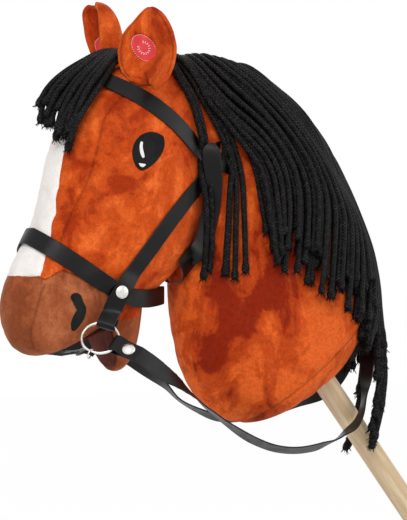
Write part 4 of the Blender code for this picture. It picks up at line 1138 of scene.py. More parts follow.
def puffed_form(name, sections, cuts, size, cap, lines, material):
    """A stuffed form: cut, remeshed and blown up between its seams."""
    form = stuffed_form(name, sections, material)
    for seam, keep_above in cuts:
        plane_cut(form, seam, keep_above)
    remeshed(form, size * MM)
    points = corners_of(form)
    far = np.full(len(points), 1.0)
    for seam, _ in cuts:
        far = np.minimum(far, distance_to_plane(points, seam))
    if lines:
        far = np.minimum(far, distance_to_lines(points, on_surface(tree_of(form), lines)))
    puffed(form, np.nonzero(far < size * 0.75 * MM)[0], cap * MM)
    return subdivided(form)


def make_plush():
    """The stuffed head, muzzle, jaw and neck."""
    head_lines = both_sides(FOREHEAD_SEAM) + both_sides(FRONT_SEAM)
    whole = puffed_form("head_form", HEAD_SECTIONS, ((PALATE, True),), 4.4, 1.6, head_lines, CHESTNUT)
    planes = muzzle_planes(tree_of(whole))
    marks = cut_muzzle(whole, planes)
    points = corners_of(whole)
    sewn = distance_to_lines(points, on_surface(tree_of(whole), head_lines))
    joined = distance_to_marks(points, marks)
    sew(whole, np.minimum(sewn, joined * 1.3), 1.1 * MM, 2.2 * MM)
    muzzle = take_part(whole, "muzzle_plush", BROWN, lambda place: in_muzzle(place, planes))
    head = take_part(whole, "head_plush", CHESTNUT, lambda place: not in_muzzle(place, planes))
    bpy.data.objects.remove(whole)
    neck = puffed_form("neck_plush", NECK_SECTIONS, (), 4.8, 1.8, (), SHADED_NECK_PLUSH)
    sew(neck, distance_to_plane(corners_of(neck), BASE_SEAM), 1.2 * MM, 2.2 * MM)
    # Painted light and shade on the pile, mixed with its own darker and brighter patches
    brush(head, HEAD_LIGHT_AND_NAP)
    brush(muzzle, MUZZLE_LIGHT_AND_NAP)
    wrinkle(muzzle, MUZZLE_WRINKLES, 1.8 * MM, 2.4 * MM)
    brush(neck, NECK_LIGHT_AND_NAP)
    jaw = puffed_form("jaw_plush", JAW_SECTIONS, ((JAW_LINING, True),), 3.2, 1.0, (), BROWN)
    sew(jaw, distance_to_plane(corners_of(jaw), JAW_LINING), 0.6 * MM, 1.6 * MM)
    jaw.data.materials.append(CHESTNUT)
    plane_cut(jaw, LIP_SEAM, True, clear=False)
    point, normal = plane_of(LIP_SEAM)
    for face in jaw.data.polygons:
        face.material_index = 1 if (face.center - point).dot(normal) > 0 else 0
    for form, slot, nodes in (
        (head, "chestnut_plush", ["head"]),
        (muzzle, "brown_plush", ["muzzle"]),
        (neck, "chestnut_plush", ["neck", "neck_base"]),
        (jaw, "brown_plush", ["lower_jaw"]),
    ):
        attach(form, "horse")
        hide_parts(*nodes)
    return head, muzzle, jaw, neck


# Ears

EAR_HEIGHT = 88 * MM
EAR_WIDEST = 33 * MM
# Heights up the near ear with the places of its left and right rims, in millimetres
EAR_OUTLINE = (
    (0, 11, 15), (1, 9, 17), (3.5, 4, 21.5), (6, 1, 25), (6.8, -5, 25.5), (7.8, -11, 26.4), (12.6, -20, 29),
    (21, -27.5, 31), (32, -32, 30.5), (43, -33.5, 29), (57, -31, 24.5), (66, -25, 19.5), (73, -18, 15),
    (78.5, -13, 10), (82.5, -8.5, 4.5), (84, -5, 1),
)
EAR_HALF_THICKNESS = 5 * MM
EAR_ROWS = 60
EAR_AROUND = 72
NO_LINE = 1.0  # a distance far beyond any seam
# Foot in millimetres, turn, nod and lean in degrees, cup in millimetres, and width as a share
EARS = {
    "near": ((-281, -40, 366), 33.0, 0.0, -3.0, 12.0, 1.0),
    "far": ((-272, 40, 373), -10.0, 13.0, 0.0, 33.0, 0.78),
}
PATCH_UP = 44 * MM
PATCH_ACROSS = -9 * MM
PATCH_ROLL = math.radians(-50)
PATCH_LONG = 31 * MM
PATCH_SHORT = 21 * MM
PATCH_SIDES = 48
PATCH_DOME = 0.3
# Rings of the patch: the share of its size, and how high, in millimetres
PATCH_ROWS = ((0.35, 0.28), (0.7, 0.2), (0.86, 0.12), (0.93, 0.32), (1.0, 0.05), (1.0, -1.1))
RIM_STITCHES = 40
RIM_LEAN = 0.54
STITCH_HEIGHT = 0.35 * MM
FAN_BARS = 13


def ear_frame(side):
    foot, turn, nod, lean, _, _ = EARS[side]
    angles = (math.radians(nod), math.radians(lean), math.radians(turn - 90))
    return Matrix.Translation(at(*foot)) @ Euler(angles).to_matrix().to_4x4()


def ear_rims(up):
    """The near ear's left and right rims at a height."""
    heights, left, right = (np.array(column) * MM for column in zip(*EAR_OUTLINE))
    return float(np.interp(up, heights, left)), float(np.interp(up, heights, right))


def ear_middle(side, across, up):
    """Depth of the ear's middle layer; the rims stand forward of it."""
    _, _, _, _, cup, width = EARS[side]
    return -cup * MM * (1.5 - up / EAR_HEIGHT) * (across / (EAR_WIDEST * width)) ** 2


EAR_FOOT_FORWARD = 17 * MM
# The crease at the foot of the near ear, from its lower end up, across and up in millimetres
EAR_CREASE = ((2, 3), (-1, 8.5), (-5, 14), (-12, 24))


def crease_share(across, up):
    """How deep the crease is at a place of the ear, 1 in it and 0 away from it, and how far off it is."""
    place = Vector((across, up))
    best = NO_LINE
    for start, end in zip(EAR_CREASE, EAR_CREASE[1:]):
        start, end = Vector(start) * MM, Vector(end) * MM
        share = clamped((place - start).dot(end - start) / (end - start).length_squared)
        best = min(best, (place - start.lerp(end, share)).length)
    fade = clamped(1 - (up / MM - 12) / 14)
    return math.exp(-((best / (2.4 * MM)) ** 2)) * fade, best + (1 - fade) * 4 * MM


def patch_dent(across, up):
    """1 under the press patch, falling to 0 at a little more than its size."""
    dx, dz = across - PATCH_ACROSS, up - PATCH_UP
    long = dx * math.cos(PATCH_ROLL) + dz * math.sin(PATCH_ROLL)
    short = -dx * math.sin(PATCH_ROLL) + dz * math.cos(PATCH_ROLL)
    inside = math.hypot(long / (PATCH_LONG / 2), short / (PATCH_SHORT / 2))
    return clamped((1.12 - inside) / 0.12)


def ear_corner(up, angle, height):
    """A place of the near ear, and how far it is from the rim's seam and from the crease."""
    left, right = ear_rims(up)
    middle, half = (left + right) / 2, (right - left) / 2
    turn, lift = math.cos(angle), math.sin(angle)
    across = middle + half * math.copysign(abs(turn) ** 0.8, turn)
    thick = EAR_HALF_THICKNESS * math.copysign(abs(lift) ** 0.6, lift)
    thick *= 0.3 + 0.7 * min(1.0, (height - up) / (9 * MM), (up + 3 * MM) / (9 * MM))
    forward = EAR_FOOT_FORWARD + 6 * MM * clamped(across / (18 * MM))
    depth = ear_middle("near", across, up) - forward * max(1 - up / (42 * MM), 0.0) ** 1.5
    if lift >= 0:
        return Vector((across, depth + thick, up)), NO_LINE, NO_LINE
    rim = half - abs(across - middle)
    thick *= 1 - 0.42 * patch_dent(across, up)
    lobe = max(0.0, 1 - up / (34 * MM))
    thick *= 1 + 0.9 * lobe * (1 - math.exp(-((rim / (5 * MM)) ** 2)))
    crease, off = crease_share(across, up)
    thick *= 1 - 1.3 * crease
    return Vector((across, depth + thick, up)), abs(rim - 3.4 * MM) if up > 14 * MM else NO_LINE, off


def finish_ear(ear, side):
    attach(ear, "horse")
    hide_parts("ear_" + side)


def make_near_ear():
    """A stuffed leaf with lobes at its foot, a crease between them and a seam along its rim, with painted
    shade in the crease and along the seam.
    """
    place = ear_frame("near")
    height = EAR_OUTLINE[-1][0] * MM
    made = bmesh.new()
    rings, edges, creases = [], [], []
    for i in range(EAR_ROWS + 1):
        up = height * (0.5 - 0.5 * math.cos(math.pi * i / EAR_ROWS))
        corners = [ear_corner(up, math.tau * j / EAR_AROUND, height) for j in range(EAR_AROUND)]
        rings.append([made.verts.new(place @ corner) for corner, _, _ in corners])
        edges += [edge for _, edge, _ in corners]
        creases += [off for _, _, off in corners]
    capped(made, rings)
    ear = from_bmesh("ear_near_plush", made, CHESTNUT)
    sew(ear, np.array(edges), 0.8 * MM, 1.3 * MM)
    # Painted shade in the crease between the lobes and along the rim's seam
    dark = fading(np.array(creases), 2 * MM)
    give_attribute(ear, "seam", np.maximum(fading(np.array(edges), SEAM_SHADE_WIDTH), dark))
    finish_ear(ear, "near")


# The far ear, seen nearly along its fold: for heights down the frame, where its far rim, its back and its
# near rim stand to the right of its foot
FAR_EAR = (
    (5, -36, -28, -31), (8, -42, -20, -28), (15, -43.4, -13.5, -26), (25, -42, -8.5, -25.5),
    (37, -40.4, -5.4, -25), (50, -36, -3.5, -24.5), (62, -31, -2, -22), (75, -22, 2, -14), (88, -12, 6, -4),
)
FAR_EAR_FOOT = (-272, 40, 373)
FAR_EAR_TOP = 464  # the height, in millimetres, from which the rows above count down


def make_far_ear():
    """A leaf of plush folded round its middle, open to the front."""
    foot = at(*FAR_EAR_FOOT)
    rows = []
    for down, far_rim, back, near_rim in FAR_EAR:
        wide = back - far_rim
        marks = (
            (far_rim, 0.02), (far_rim + 0.28 * wide, 0.16), (far_rim + 0.6 * wide, 0.08),
            (back - 0.1 * wide, -0.16), (back, -0.45), (back - 0.16 * wide, -0.74), (near_rim, -0.95),
        )
        line = smooth_path([Vector((across, share * wide, 0)) for across, share in marks], 1.2)
        up = Vector((0, 0, FAR_EAR_TOP - down - FAR_EAR_FOOT[2])) * MM
        rows.append(
            [foot + RIGHT * mark.x * MM - BACK * (mark.y + 5) * MM + up for mark in resampled(line, 15)]
        )
    columns = [resampled(smooth_path(list(column), 4 * MM), 22) for column in zip(*rows)]
    made = bmesh.new()
    quad_rows(made, [[made.verts.new(point) for point in column] for column in columns], closed=False)
    ear = from_bmesh("ear_far_plush", made, CHESTNUT)
    thickened(ear, 7 * MM, 0)
    finish_ear(subdivided(ear, 2), "far")


def patch_frame(side):
    depth = ear_middle(side, PATCH_ACROSS, PATCH_UP)
    _, _, _, _, cup, width = EARS[side]
    widest = EAR_WIDEST * width
    slope = -2 * cup * MM * (1.5 - PATCH_UP / EAR_HEIGHT) * PATCH_ACROSS / widest**2
    seat = Matrix.Translation((PATCH_ACROSS, depth, PATCH_UP))
    outward = seat @ Matrix.Rotation(math.atan(slope), 4, "Z") @ Matrix.Rotation(math.pi / 2, 4, "X")
    return ear_frame(side) @ outward @ Matrix.Rotation(PATCH_ROLL, 4, "Z")


def on_oval(share, angle, height):
    return Vector(
        (PATCH_LONG / 2 * share * math.cos(angle), PATCH_SHORT / 2 * share * math.sin(angle), height)
    )


def make_patch(side):
    """The red press patch: woven oval with an overlocked edge and a pale horseshoe shape."""
    place = patch_frame(side)
    height = EAR_HALF_THICKNESS + 0.2 * MM
    made = bmesh.new()
    hub = made.verts.new(place @ Vector((0, 0, height + PATCH_DOME * MM)))
    rows = []
    for share, rise in PATCH_ROWS:
        angles = (math.tau * k / PATCH_SIDES for k in range(PATCH_SIDES))
        rows.append([made.verts.new(place @ on_oval(share, angle, height + rise * MM)) for angle in angles])
    fan(made, hub, rows[0])
    quad_rows(made, rows, flip=True)
    made.faces.new(rows[-1])
    patch = from_bmesh("press_patch_" + side, made, RED)
    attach(patch, "ear_button_" + side)
    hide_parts("ear_patch_" + side)
    made = bmesh.new()
    for k in range(RIM_STITCHES):
        angle = math.tau * k / RIM_STITCHES
        middle = on_oval(0.965, angle, height + 0.3 * MM)
        bar(made, place, middle, angle + math.pi / 2 + RIM_LEAN, 1.5 * MM, 0.4 * MM)
    for k in range(FAN_BARS):
        angle = math.radians(-140 + 280 * k / (FAN_BARS - 1))
        middle = Vector((6.2 * MM * math.cos(angle), 5.2 * MM * math.sin(angle), height + 0.42 * MM))
        bar(made, place, middle, angle, 2.6 * MM, 0.75 * MM)
    stitches = from_bmesh("patch_stitches_" + side, made, THREAD)
    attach(stitches, "ear_button_" + side)


def bar(made, place, middle, angle, long, wide):
    """One stitch: a low rounded bar."""
    along = Vector((math.cos(angle), math.sin(angle), 0)) * long / 2
    across = Vector((-math.sin(angle), math.cos(angle), 0)) * wide / 2
    up = Vector((0, 0, STITCH_HEIGHT))
    steps = [a * along + b * across for a, b in ((-1, -1), (1, -1), (1, 1), (-1, 1))]
    below = [made.verts.new(place @ (middle + step - up * 0.8)) for step in steps]
    above = [made.verts.new(place @ (middle + step * 0.7 + up)) for step in steps]
    quad_row(made, below, above)
    made.faces.new(above)
    made.faces.new(below)


# Face

FELT_SEAT = -0.6 * MM  # how far a felt shape's underside lies in the plush


def laid_shape(name, tree, outline, lift, material, flip, dense):
    """A felt shape laid on the plush; its outline is given as seen in the frame."""
    loop = smooth_path([Vector((*mark, 0)) for mark in [*outline, outline[0]]], dense / MM)[:-1]
    centre = sum(loop, Vector()) / len(loop)
    made = bmesh.new()

    def seat_point(mark, height):
        place, out = sighted(tree, mark.x, mark.y)
        point = place + out * height
        return made.verts.new((point.x, point.y * flip, point.z))

    levels = (
        (0.3, lift), (0.6, lift), (0.85, lift), (0.95, lift * 0.9), (1.0, lift * 0.35), (1.01, FELT_SEAT),
    )
    hub = seat_point(centre, lift)
    rows = [[seat_point(centre.lerp(mark, share), height) for mark in loop] for share, height in levels]
    fan(made, hub, rows[0])
    quad_rows(made, rows, flip=True)
    fan(made, seat_point(centre, FELT_SEAT * 3), rows[-1], flip=True)
    return from_bmesh(name, made, material)


EYE = (
    (163.5, 136.5), (157, 132.8), (149, 132), (141.5, 134.8), (135.5, 141), (132.4, 150), (133, 159),
    (136, 166), (141.3, 170.6), (149, 167.5), (157, 160.5), (162.8, 151.5), (164.6, 143),
)
EYE_LIGHT = (
    (140.3, 141.5), (142.4, 141.8), (142.3, 148), (144.2, 157.3), (142, 158), (139.8, 153), (139.2, 146),
)
EYE_RIM_LIGHT = ((138.2, 163.2), (145.2, 164.4), (143, 167.2), (140, 166.6))
NOSTRIL = (
    (70.5, 297.8), (71.9, 294.2), (76.3, 292.9), (80.6, 295.1), (83.2, 301.6), (86, 308.1), (84.6, 316.8),
    (79.5, 325.6), (74.1, 330.9), (71.4, 329.2), (71.2, 322.2), (74.6, 313.8), (78.4, 308.5), (78.6, 304.6),
    (75, 302.6),
)


def make_face(head_tree, muzzle_tree):
    for side, flip in (("near", 1), ("far", -1)):
        for name, outline, lift, material, tree, cad in (
            ("eye_felt", EYE, 1.1 * MM, FELT, head_tree, "eye_"),
            ("nostril_felt", NOSTRIL, 1.0 * MM, FELT, muzzle_tree, "nostril_"),
            ("eye_light", EYE_LIGHT, 1.6 * MM, THREAD, head_tree, None),
            ("eye_rim_light", EYE_RIM_LIGHT, 1.6 * MM, THREAD, head_tree, None),
        ):
            dense = 1.0 * MM if cad is None else 2.0 * MM
            shape = laid_shape(name + "_" + side, tree, outline, lift, material, flip, dense)
            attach(shape, "horse")
            if cad:
                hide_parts(cad + side)


# Heights of the blaze with its half width there, in millimetres
BLAZE_ROWS = (
    (368, 7), (345, 13), (320, 17), (297, 19), (270, 20), (248, 22), (224, 26), (205, 29), (188, 31.5),
)
BLAZE_HALF_COLUMNS = 14
AHEAD_OF_FACE = -0.6


def make_blaze(tree):
    """White panel down the face, let into the plush."""
    made = bmesh.new()
    outline = smooth_path([Vector((half, 0, z)) for z, half in BLAZE_ROWS], 2.4)
    outline = [Vector((edge.x, 0, edge.z)) * MM for edge in outline]
    shares = [k / BLAZE_HALF_COLUMNS for k in range(-BLAZE_HALF_COLUMNS, BLAZE_HALF_COLUMNS + 1)]
    grid = []
    for i, edge in enumerate(outline):
        row = []
        for share in shares:
            start = Vector((AHEAD_OF_FACE, edge.x * share, edge.z))
            hit = tree.ray_cast(start, Vector((1, 0, 0)))
            rim = min(1 - abs(share), min(i, len(outline) - 1 - i) * 0.2)
            lift = (0.9 if rim > 0.1 else 0.4 if rim > 0.03 else -0.6) * MM  # the rim is tucked in
            row.append(made.verts.new(hit[0] + hit[1] * lift))
        grid.append(row)
    quad_rows(made, grid, closed=False, flip=True)
    made.normal_update()
    if sum(face.normal.x for face in made.faces) > 0:
        bmesh.ops.reverse_faces(made, faces=made.faces)
    blaze = add("blaze_plush", written(made, bpy.data.meshes.new("blaze_plush")), WHITE)
    thickened(blaze, 0.8 * MM, -1)
    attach(blaze, "horse")
    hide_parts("blaze")
    return blaze


# Distances from the corner of the mouth with the lining's half width there, in millimetres
PALATE_HALVES = ((70, 17), (60, 25), (42, 31), (20, 34), (6, 33))
JAW_HALVES = ((6, 31), (18, 28), (32, 22), (43, 12))


def make_mouth():
    """Dark lining along the palate and down the jaw."""
    (x, z), (drop_x, drop_z) = JAW_LINING
    palate = Vector((PALATE[1][0], 0, PALATE[1][1])).normalized()
    drop = Vector((drop_x, 0, drop_z)).normalized()
    under, ahead = Vector((palate.z, 0, -palate.x)), Vector((drop.z, 0, -drop.x))
    corner = at(x, 0, z)
    stations = [(corner - reach * MM * palate, under, half) for reach, half in PALATE_HALVES]
    stations.append((corner, (under + ahead).normalized() * 1.4, 32))
    stations += [(corner + reach * MM * drop, ahead, half) for reach, half in JAW_HALVES]
    made = bmesh.new()
    rings = []
    for place, out, half in stations:
        side = Vector((0, half * MM, 0))
        inner, outer = place - out * 0.8 * MM, place + out * 1.6 * MM
        points = (inner - side, inner + side, outer + side * 0.96, outer - side * 0.96)
        rings.append([made.verts.new(point) for point in points])
    capped(made, rings)
    lining = subdivided(from_bmesh("mouth_lining_cloth", made, LINING), 3)
    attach(lining, "horse")
    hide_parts("mouth_lining")


# Straps

STRAP_WIDTH = 17.5 * MM
STRAP_THICKNESS = 1.5 * MM
STRAP_EDGE = 0.45 * MM
RIVET_LIFT = 0.5 * MM
PROBE = 25 * MM  # how far outside a look for the top layer starts
STRAP_CROWN = 0.08 * MM
STRAP_LIFT = 0.25 * MM
STRAP_STEP = 4 * MM
FEELERS = (-0.48, -0.24, 0, 0.24, 0.48)  # places across a strap, as shares of its width
THROAT_LOW = 0.23  # the height under which the throatlatch looks for what it lies on from close by
THROAT_HIGHEST = 20 * MM
# Routes of the straps on the near side: places in the frame where the name ends in SEEN, else in millimetres
UPPER_RIVET = (-217, -36, 303)
BROWBAND_START = ((-209, -32, 297), UPPER_RIVET)
BROWBAND_SEEN = ((198, 150), (189, 138), (175.5, 123), (157, 107.5), (139, 96), (121, 87))
BROWBAND_END = ((-330, -18, 380), (-334, 0, 386))
CHEEK_START = ((-213, -33, 313), UPPER_RIVET)
CHEEK_SEEN = ((199, 184), (184.5, 202.6), (168.4, 223.7), (147.5, 252.6), (135, 269.5))
LOWER_RIVET_SEEN = (121.5, 292)
NOSEBAND_SEEN = (LOWER_RIVET_SEEN, (100, 280), (79, 265.8), (52.6, 248.7), (31.6, 236.8))
NOSEBAND_FRONT = (-398, 0, 226)
# The part of the noseband behind the chin stands on edge, clear of the plush
NOSEBAND_CHIN = (
    (-306, -40.5, 167.5), (-289, -34, 166.5), (-274, -25, 167.5), (-262, -16, 169), (-256, -8, 169.5),
)
NOSEBAND_BACK = (-254.5, 0, 169.5)
THROATLATCH = (
    (-217, -37, 318), UPPER_RIVET, (-215, -37, 283), (-217, -37, 258), (-221, -36, 238), (-226, -36, 222),
    (-232, -32, 211), (-239, -25, 204), (-244, -13, 199), (-246, 0, 197),
)


def seen_route(tree, marks):
    """Places on the plush, in millimetres."""
    return [tuple(sighted(tree, *mark)[0] / MM) for mark in marks]


class Layers:
    """What a strap is laid on: the plush, and the straps that already lie there."""

    def __init__(self, *objects):
        self.forms = [tree_of(obj) for obj in objects]
        self.trees = list(self.forms)

    def add(self, *objects):
        self.trees += [tree_of(obj) for obj in objects]

    def nearest_out(self, point):
        return min((tree.find_nearest(point) for tree in self.forms), key=lambda hit: hit[3])[1]

    def top(self, start, direction):
        hits = [tree.ray_cast(start, direction) for tree in self.trees]
        hits = [hit for hit in hits if hit[0] is not None]
        return min(hits, key=lambda hit: hit[3])[0] if hits else None


def mirrored_route(route):
    return [*route, *((x, -y, z) for x, y, z in reversed(route[:-1]))]


def risen(place, out, rise):
    """The way a strap is lifted off the plush: along the view where it faces the camera, else outward."""
    flip = -1 if place.y > 0 else 1
    view = Vector((BACK.x, BACK.y * flip, 0))
    way = out.lerp(view, clamped((out.dot(view) - 0.25) / 0.3)).normalized()
    return way * rise / max(way.dot(out), 0.3)


def laid(layers, route, low=-1.0, highest=7 * MM):
    """Sections (middle, side, outward) of a flat strap that lies on the plush or bridges over it."""
    middles = smooth_path([at(*point) for point in route], STRAP_STEP)
    outward = softened([layers.nearest_out(middle) for middle in middles], 12)
    outward = [vector.normalized() for vector in outward]
    for _ in range(2):
        rises = []
        for middle, along, out in zip(middles, tangents(middles), outward):
            side = along.cross(out).normalized()
            reach = (8 if middle.z < low else 22) * MM
            rise = 0.0
            for across in FEELERS:
                top = layers.top(middle + side * STRAP_WIDTH * across + out * reach, -out)
                if top is not None and (top - middle).dot(out) < highest:
                    rise = max(rise, (top - middle).dot(out) + STRAP_LIFT)
            rises.append(rise)
        rises = softened([max(rises[max(k - 2, 0) : k + 3]) for k in range(len(rises))], 5)
        middles = [middle + risen(middle, out, up) for middle, out, up in zip(middles, outward, rises)]
    return sections_along(middles, tangents(middles), outward)


def sections_along(middles, directions, outward):
    sides = [along.cross(out).normalized() for along, out in zip(directions, outward)]
    return [
        (middle, side, side.cross(along).normalized())
        for middle, side, along in zip(middles, sides, directions)
    ]


def strap(name, sections, width=STRAP_WIDTH, thickness=STRAP_THICKNESS, closed=False, tips=(), cad=None):
    """A flat strap with rounded edges; its inner face runs through the sections' middles."""
    made = bmesh.new()
    rings = []
    edge = STRAP_EDGE
    for k, (middle, side, out) in enumerate(sections):
        half = width / 2
        for tip in tips:
            half *= min(1.0, 0.15 + abs(k - tip) / 2.2) if abs(k - tip) < 2 else 1.0
        crown = thickness + STRAP_CROWN
        corners = (
            (-half + edge, 0), (half - edge, 0), (half, edge), (half, thickness - edge),
            (half - edge, thickness),
            (half * 0.4, crown), (-half * 0.4, crown), (-half + edge, thickness), (-half, thickness - edge),
            (-half, edge),
        )
        rings.append([made.verts.new(middle + side * a + out * b) for a, b in corners])
    if closed:
        quad_rows(made, [*rings, rings[0]])
    else:
        capped(made, rings)
    band = from_bmesh(name, made, STRAP)
    activate(band)
    bpy.ops.object.shade_smooth_by_angle(angle=math.radians(40))
    if cad:
        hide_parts(*cad)
    return band


# Rings, in the near side's place; angles are taken from the ring's across to its up
RING_CENTRE = (-349.6, -54, 130)
RING_ACROSS = (0.866, -0.5, 0.0)
RING_UP = (0.308, 0.533, 0.788)
RING_DIAMETER = 38.4 * MM
RING_WIRE = 2.7 * MM
JUMP_RING_DIAMETER = 11 * MM
JUMP_RING_WIRE = 1.4 * MM
TAB_ANGLE = math.radians(70)
REIN_ANGLE = math.radians(-28)
JUMP_ANGLE = math.radians(-118)
JUMP_SWING = math.radians(50)
FOLD_OPENING = RING_WIRE / 2 + 1.5 * MM
REIN_FOLD_LENGTH = 24 * MM
REIN_RIVET_AT = 13 * MM
TAB_LENGTH = 12 * MM
FOLD_SHUT = 0.15 * MM
FOLD_STEPS = (8, 6.3, 5, 3.8, 2.6, 1.5)  # places along a fold, from its open end to the wire, in millimetres


def ring_axes(side):
    flip = -1 if side == "far" else 1
    x, y, z = RING_CENTRE
    across, up = (Vector((a, b * flip, c)).normalized() for a, b, c in (RING_ACROSS, RING_UP))
    return at(x, y * flip, z), across, up, across.cross(up).normalized() * flip


def on_ring(side, angle):
    centre, across, up, normal = ring_axes(side)
    radial = across * math.cos(angle) + up * math.sin(angle)
    return centre + radial * (RING_DIAMETER - RING_WIRE) / 2, radial, normal


def fold_sections(wire, radial, normal, lengths, flat=False):
    """Sections of a strap that comes in above the wire, turns round it and goes back below."""
    side = radial.cross(normal).normalized()
    mean_radius = (RING_DIAMETER - RING_WIRE) / 2
    bow = mean_radius - math.sqrt(mean_radius**2 - (STRAP_WIDTH / 2) ** 2)
    turn = wire - radial * (bow + RING_WIRE / 2 + 0.6 * MM - FOLD_OPENING)

    def height(along):
        return FOLD_OPENING + (FOLD_SHUT - FOLD_OPENING) * eased(clamped((along - 1.5 * MM) / (9 * MM)))

    legs = [*lengths, *(step * MM for step in FOLD_STEPS)]
    above = [FOLD_OPENING if flat else height(along) for along in legs]
    made = [(wire + radial * along + normal * up, side, normal) for along, up in zip(legs, above)]
    for angle in range(90, -91, -15):
        turned_to = math.radians(angle)
        out = normal * math.sin(turned_to) - radial * math.cos(turned_to)
        made.append((turn + out * FOLD_OPENING, side, out))
    for along in reversed(legs[1:]):
        made.append((wire + radial * along - normal * height(along), side, -normal))
    return made


def facing(origin, out, up=Vector((0, 0, 1))):
    across = up.cross(out).normalized()
    rows = Matrix((across, out.cross(across), out)).transposed().to_4x4()
    return Matrix.Translation(origin) @ rows


RIVET_SIDES = 32
# The rivet's outline: distance from its axis and height, in millimetres
RIVET_PROFILE = (
    (0.0, 2.45), (1.6, 2.38), (3.1, 2.1), (4.4, 1.65), (5.4, 1.15), (6.1, 0.6), (6.45, 0.2), (6.5, -0.1),
    (6.3, -0.35), (2.0, -0.4), (2.0, -3.0), (0.0, -3.0),
)


def rivet(name, place, out, body, cad):
    """Domed rivet head with a thin rolled rim, turned round its axis."""
    seat = facing(place, out)
    made = bmesh.new()
    rows = []
    for radius, height in RIVET_PROFILE:
        angles = [math.tau * k / RIVET_SIDES for k in range(RIVET_SIDES if radius else 1)]
        points = [
            Vector((radius * math.cos(angle), radius * math.sin(angle), height)) * MM for angle in angles
        ]
        rows.append([made.verts.new(seat @ point) for point in points])
    for low, high in zip(rows, rows[1:]):
        if len(low) == 1:
            fan(made, low[0], high)
        elif len(high) == 1:
            fan(made, high[0], low, flip=True)
        else:
            quad_row(made, low, high, flip=True)
    head = from_bmesh(name, made, STEEL)
    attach(head, body)
    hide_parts(cad)
    return head


def wire_ring(name, diameter, wire, matrix, body, cad):
    bpy.ops.object.select_all(action="DESELECT")
    bpy.ops.mesh.primitive_torus_add(
        major_radius=(diameter - wire) / 2, minor_radius=wire / 2, major_segments=72, minor_segments=16
    )
    ring = bpy.context.object
    ring.name = name
    ring.data.name = name
    ring.data.transform(matrix)
    if matrix.determinant() < 0:
        ring.data.flip_normals()
    ring.data.materials.append(STEEL)
    ring.data.shade_smooth()
    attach(ring, body)
    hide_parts(cad)
    return ring


def frame_matrix(origin, across, up, normal):
    return Matrix.Translation(origin) @ Matrix((across, up, normal)).transposed().to_4x4()


def make_ring_set(side):
    body = "rein_ring_set_" + side
    centre, across, up, normal = ring_axes(side)
    wire_ring(
        "big_ring_" + side, RING_DIAMETER, RING_WIRE, frame_matrix(centre, across, up, across.cross(up)),
        body, "rein_ring_" + side,
    )
    link_at, link_out, _ = on_ring(side, JUMP_ANGLE)
    link_radius = (JUMP_RING_DIAMETER - JUMP_RING_WIRE) / 2
    link_out = link_out * math.cos(JUMP_SWING) - normal * math.sin(JUMP_SWING)
    link_centre = link_at + link_out * (link_radius - (JUMP_RING_WIRE + RING_WIRE) / 2 - 0.3 * MM)
    link_side = link_out.cross(normal).normalized()
    link_up = link_side.cross(link_out)
    wire_ring(
        "small_ring_" + side, JUMP_RING_DIAMETER, JUMP_RING_WIRE,
        frame_matrix(link_centre, link_out, link_up, link_side), body, "jump_ring_" + side,
    )
    wire, out, _ = on_ring(side, REIN_ANGLE)
    lengths = [share * REIN_FOLD_LENGTH for share in (1, 0.9, 0.7, 0.5)]
    end = strap("rein_fold_" + side, fold_sections(wire, out, normal, lengths), cad=["rein_end_" + side])
    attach(end, body)
    seat = wire + out * REIN_RIVET_AT + normal * (FOLD_SHUT + STRAP_THICKNESS + 0.4 * MM)
    rivet("rein_stud_" + side, seat, normal, body, "rein_rivet_" + side)
    passing = link_side if link_side.z > 0 else -link_side
    return link_centre + link_out * 0.9 * MM, passing, link_out


def make_bridle(head, muzzle, jaw, neck, blaze):
    """All the straps that stay on the head, with their rivets; gives the pieces, and the browband."""
    layers = Layers(head, muzzle, jaw, neck)
    low_layers = Layers(head, muzzle)
    low_layers.add(blaze)
    skin = tree_of(head, muzzle)
    over_nose = laid(low_layers, mirrored_route([*seen_route(skin, NOSEBAND_SEEN), NOSEBAND_FRONT]))
    nose = strap("noseband_strap", [*over_nose, *behind_chin(over_nose)], closed=True, cad=["noseband"])
    layers.add(nose)
    pieces = [nose]
    cheek = laid(layers, [*CHEEK_START, *seen_route(skin, CHEEK_SEEN)])
    wire, out, normal = on_ring("near", TAB_ANGLE)
    tab = fold_sections(wire, out, normal, [0.9 * TAB_LENGTH], flat=True)
    tab = [(middle, -side_way, out_way) for middle, side_way, out_way in tab]
    seat, seat_out = lower_seat(layers, skin, cheek[-1][0], tab[0][0])
    run = joined_sections(joined_sections(cheek, seat), tab)
    for side, sections in (("near", run), ("far", mirrored_sections(run))):
        pieces.append(strap("cheek_strap_%s_leather" % side, sections, cad=["cheek_strap_" + side]))
        stud_at, stud_out = seat[1][0] + seat_out * (STRAP_THICKNESS + RIVET_LIFT), seat_out
        if side == "far":
            stud_at, stud_out = mirrored(stud_at), mirrored(stud_out)
        rivet("stud_lower_" + side, stud_at, stud_out, "horse", "rivet_lower_" + side)
    layers.add(pieces[1], pieces[2])
    brow_route = [*BROWBAND_START, *seen_route(skin, BROWBAND_SEEN), *BROWBAND_END]
    brow = strap("browband_strap", laid(layers, mirrored_route(brow_route)), cad=["browband"])
    layers.add(brow)
    throat = laid(layers, mirrored_route(list(THROATLATCH)), THROAT_LOW, THROAT_HIGHEST)
    latch = strap("throatlatch_strap", throat, tips=(0, len(throat) - 1), cad=["throatlatch"])
    layers.add(latch)
    for piece in (*pieces, brow, latch):
        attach(piece, "horse")
    studs = []
    for side in ("near", "far"):
        centre = at(*UPPER_RIVET) if side == "near" else mirrored(at(*UPPER_RIVET))
        place, out = upper_seat(layers, centre)
        studs.append(
            rivet("stud_upper_" + side, place + out * RIVET_LIFT, out, "horse", "rivet_upper_" + side)
        )
    return [*pieces, brow, latch, *studs], brow


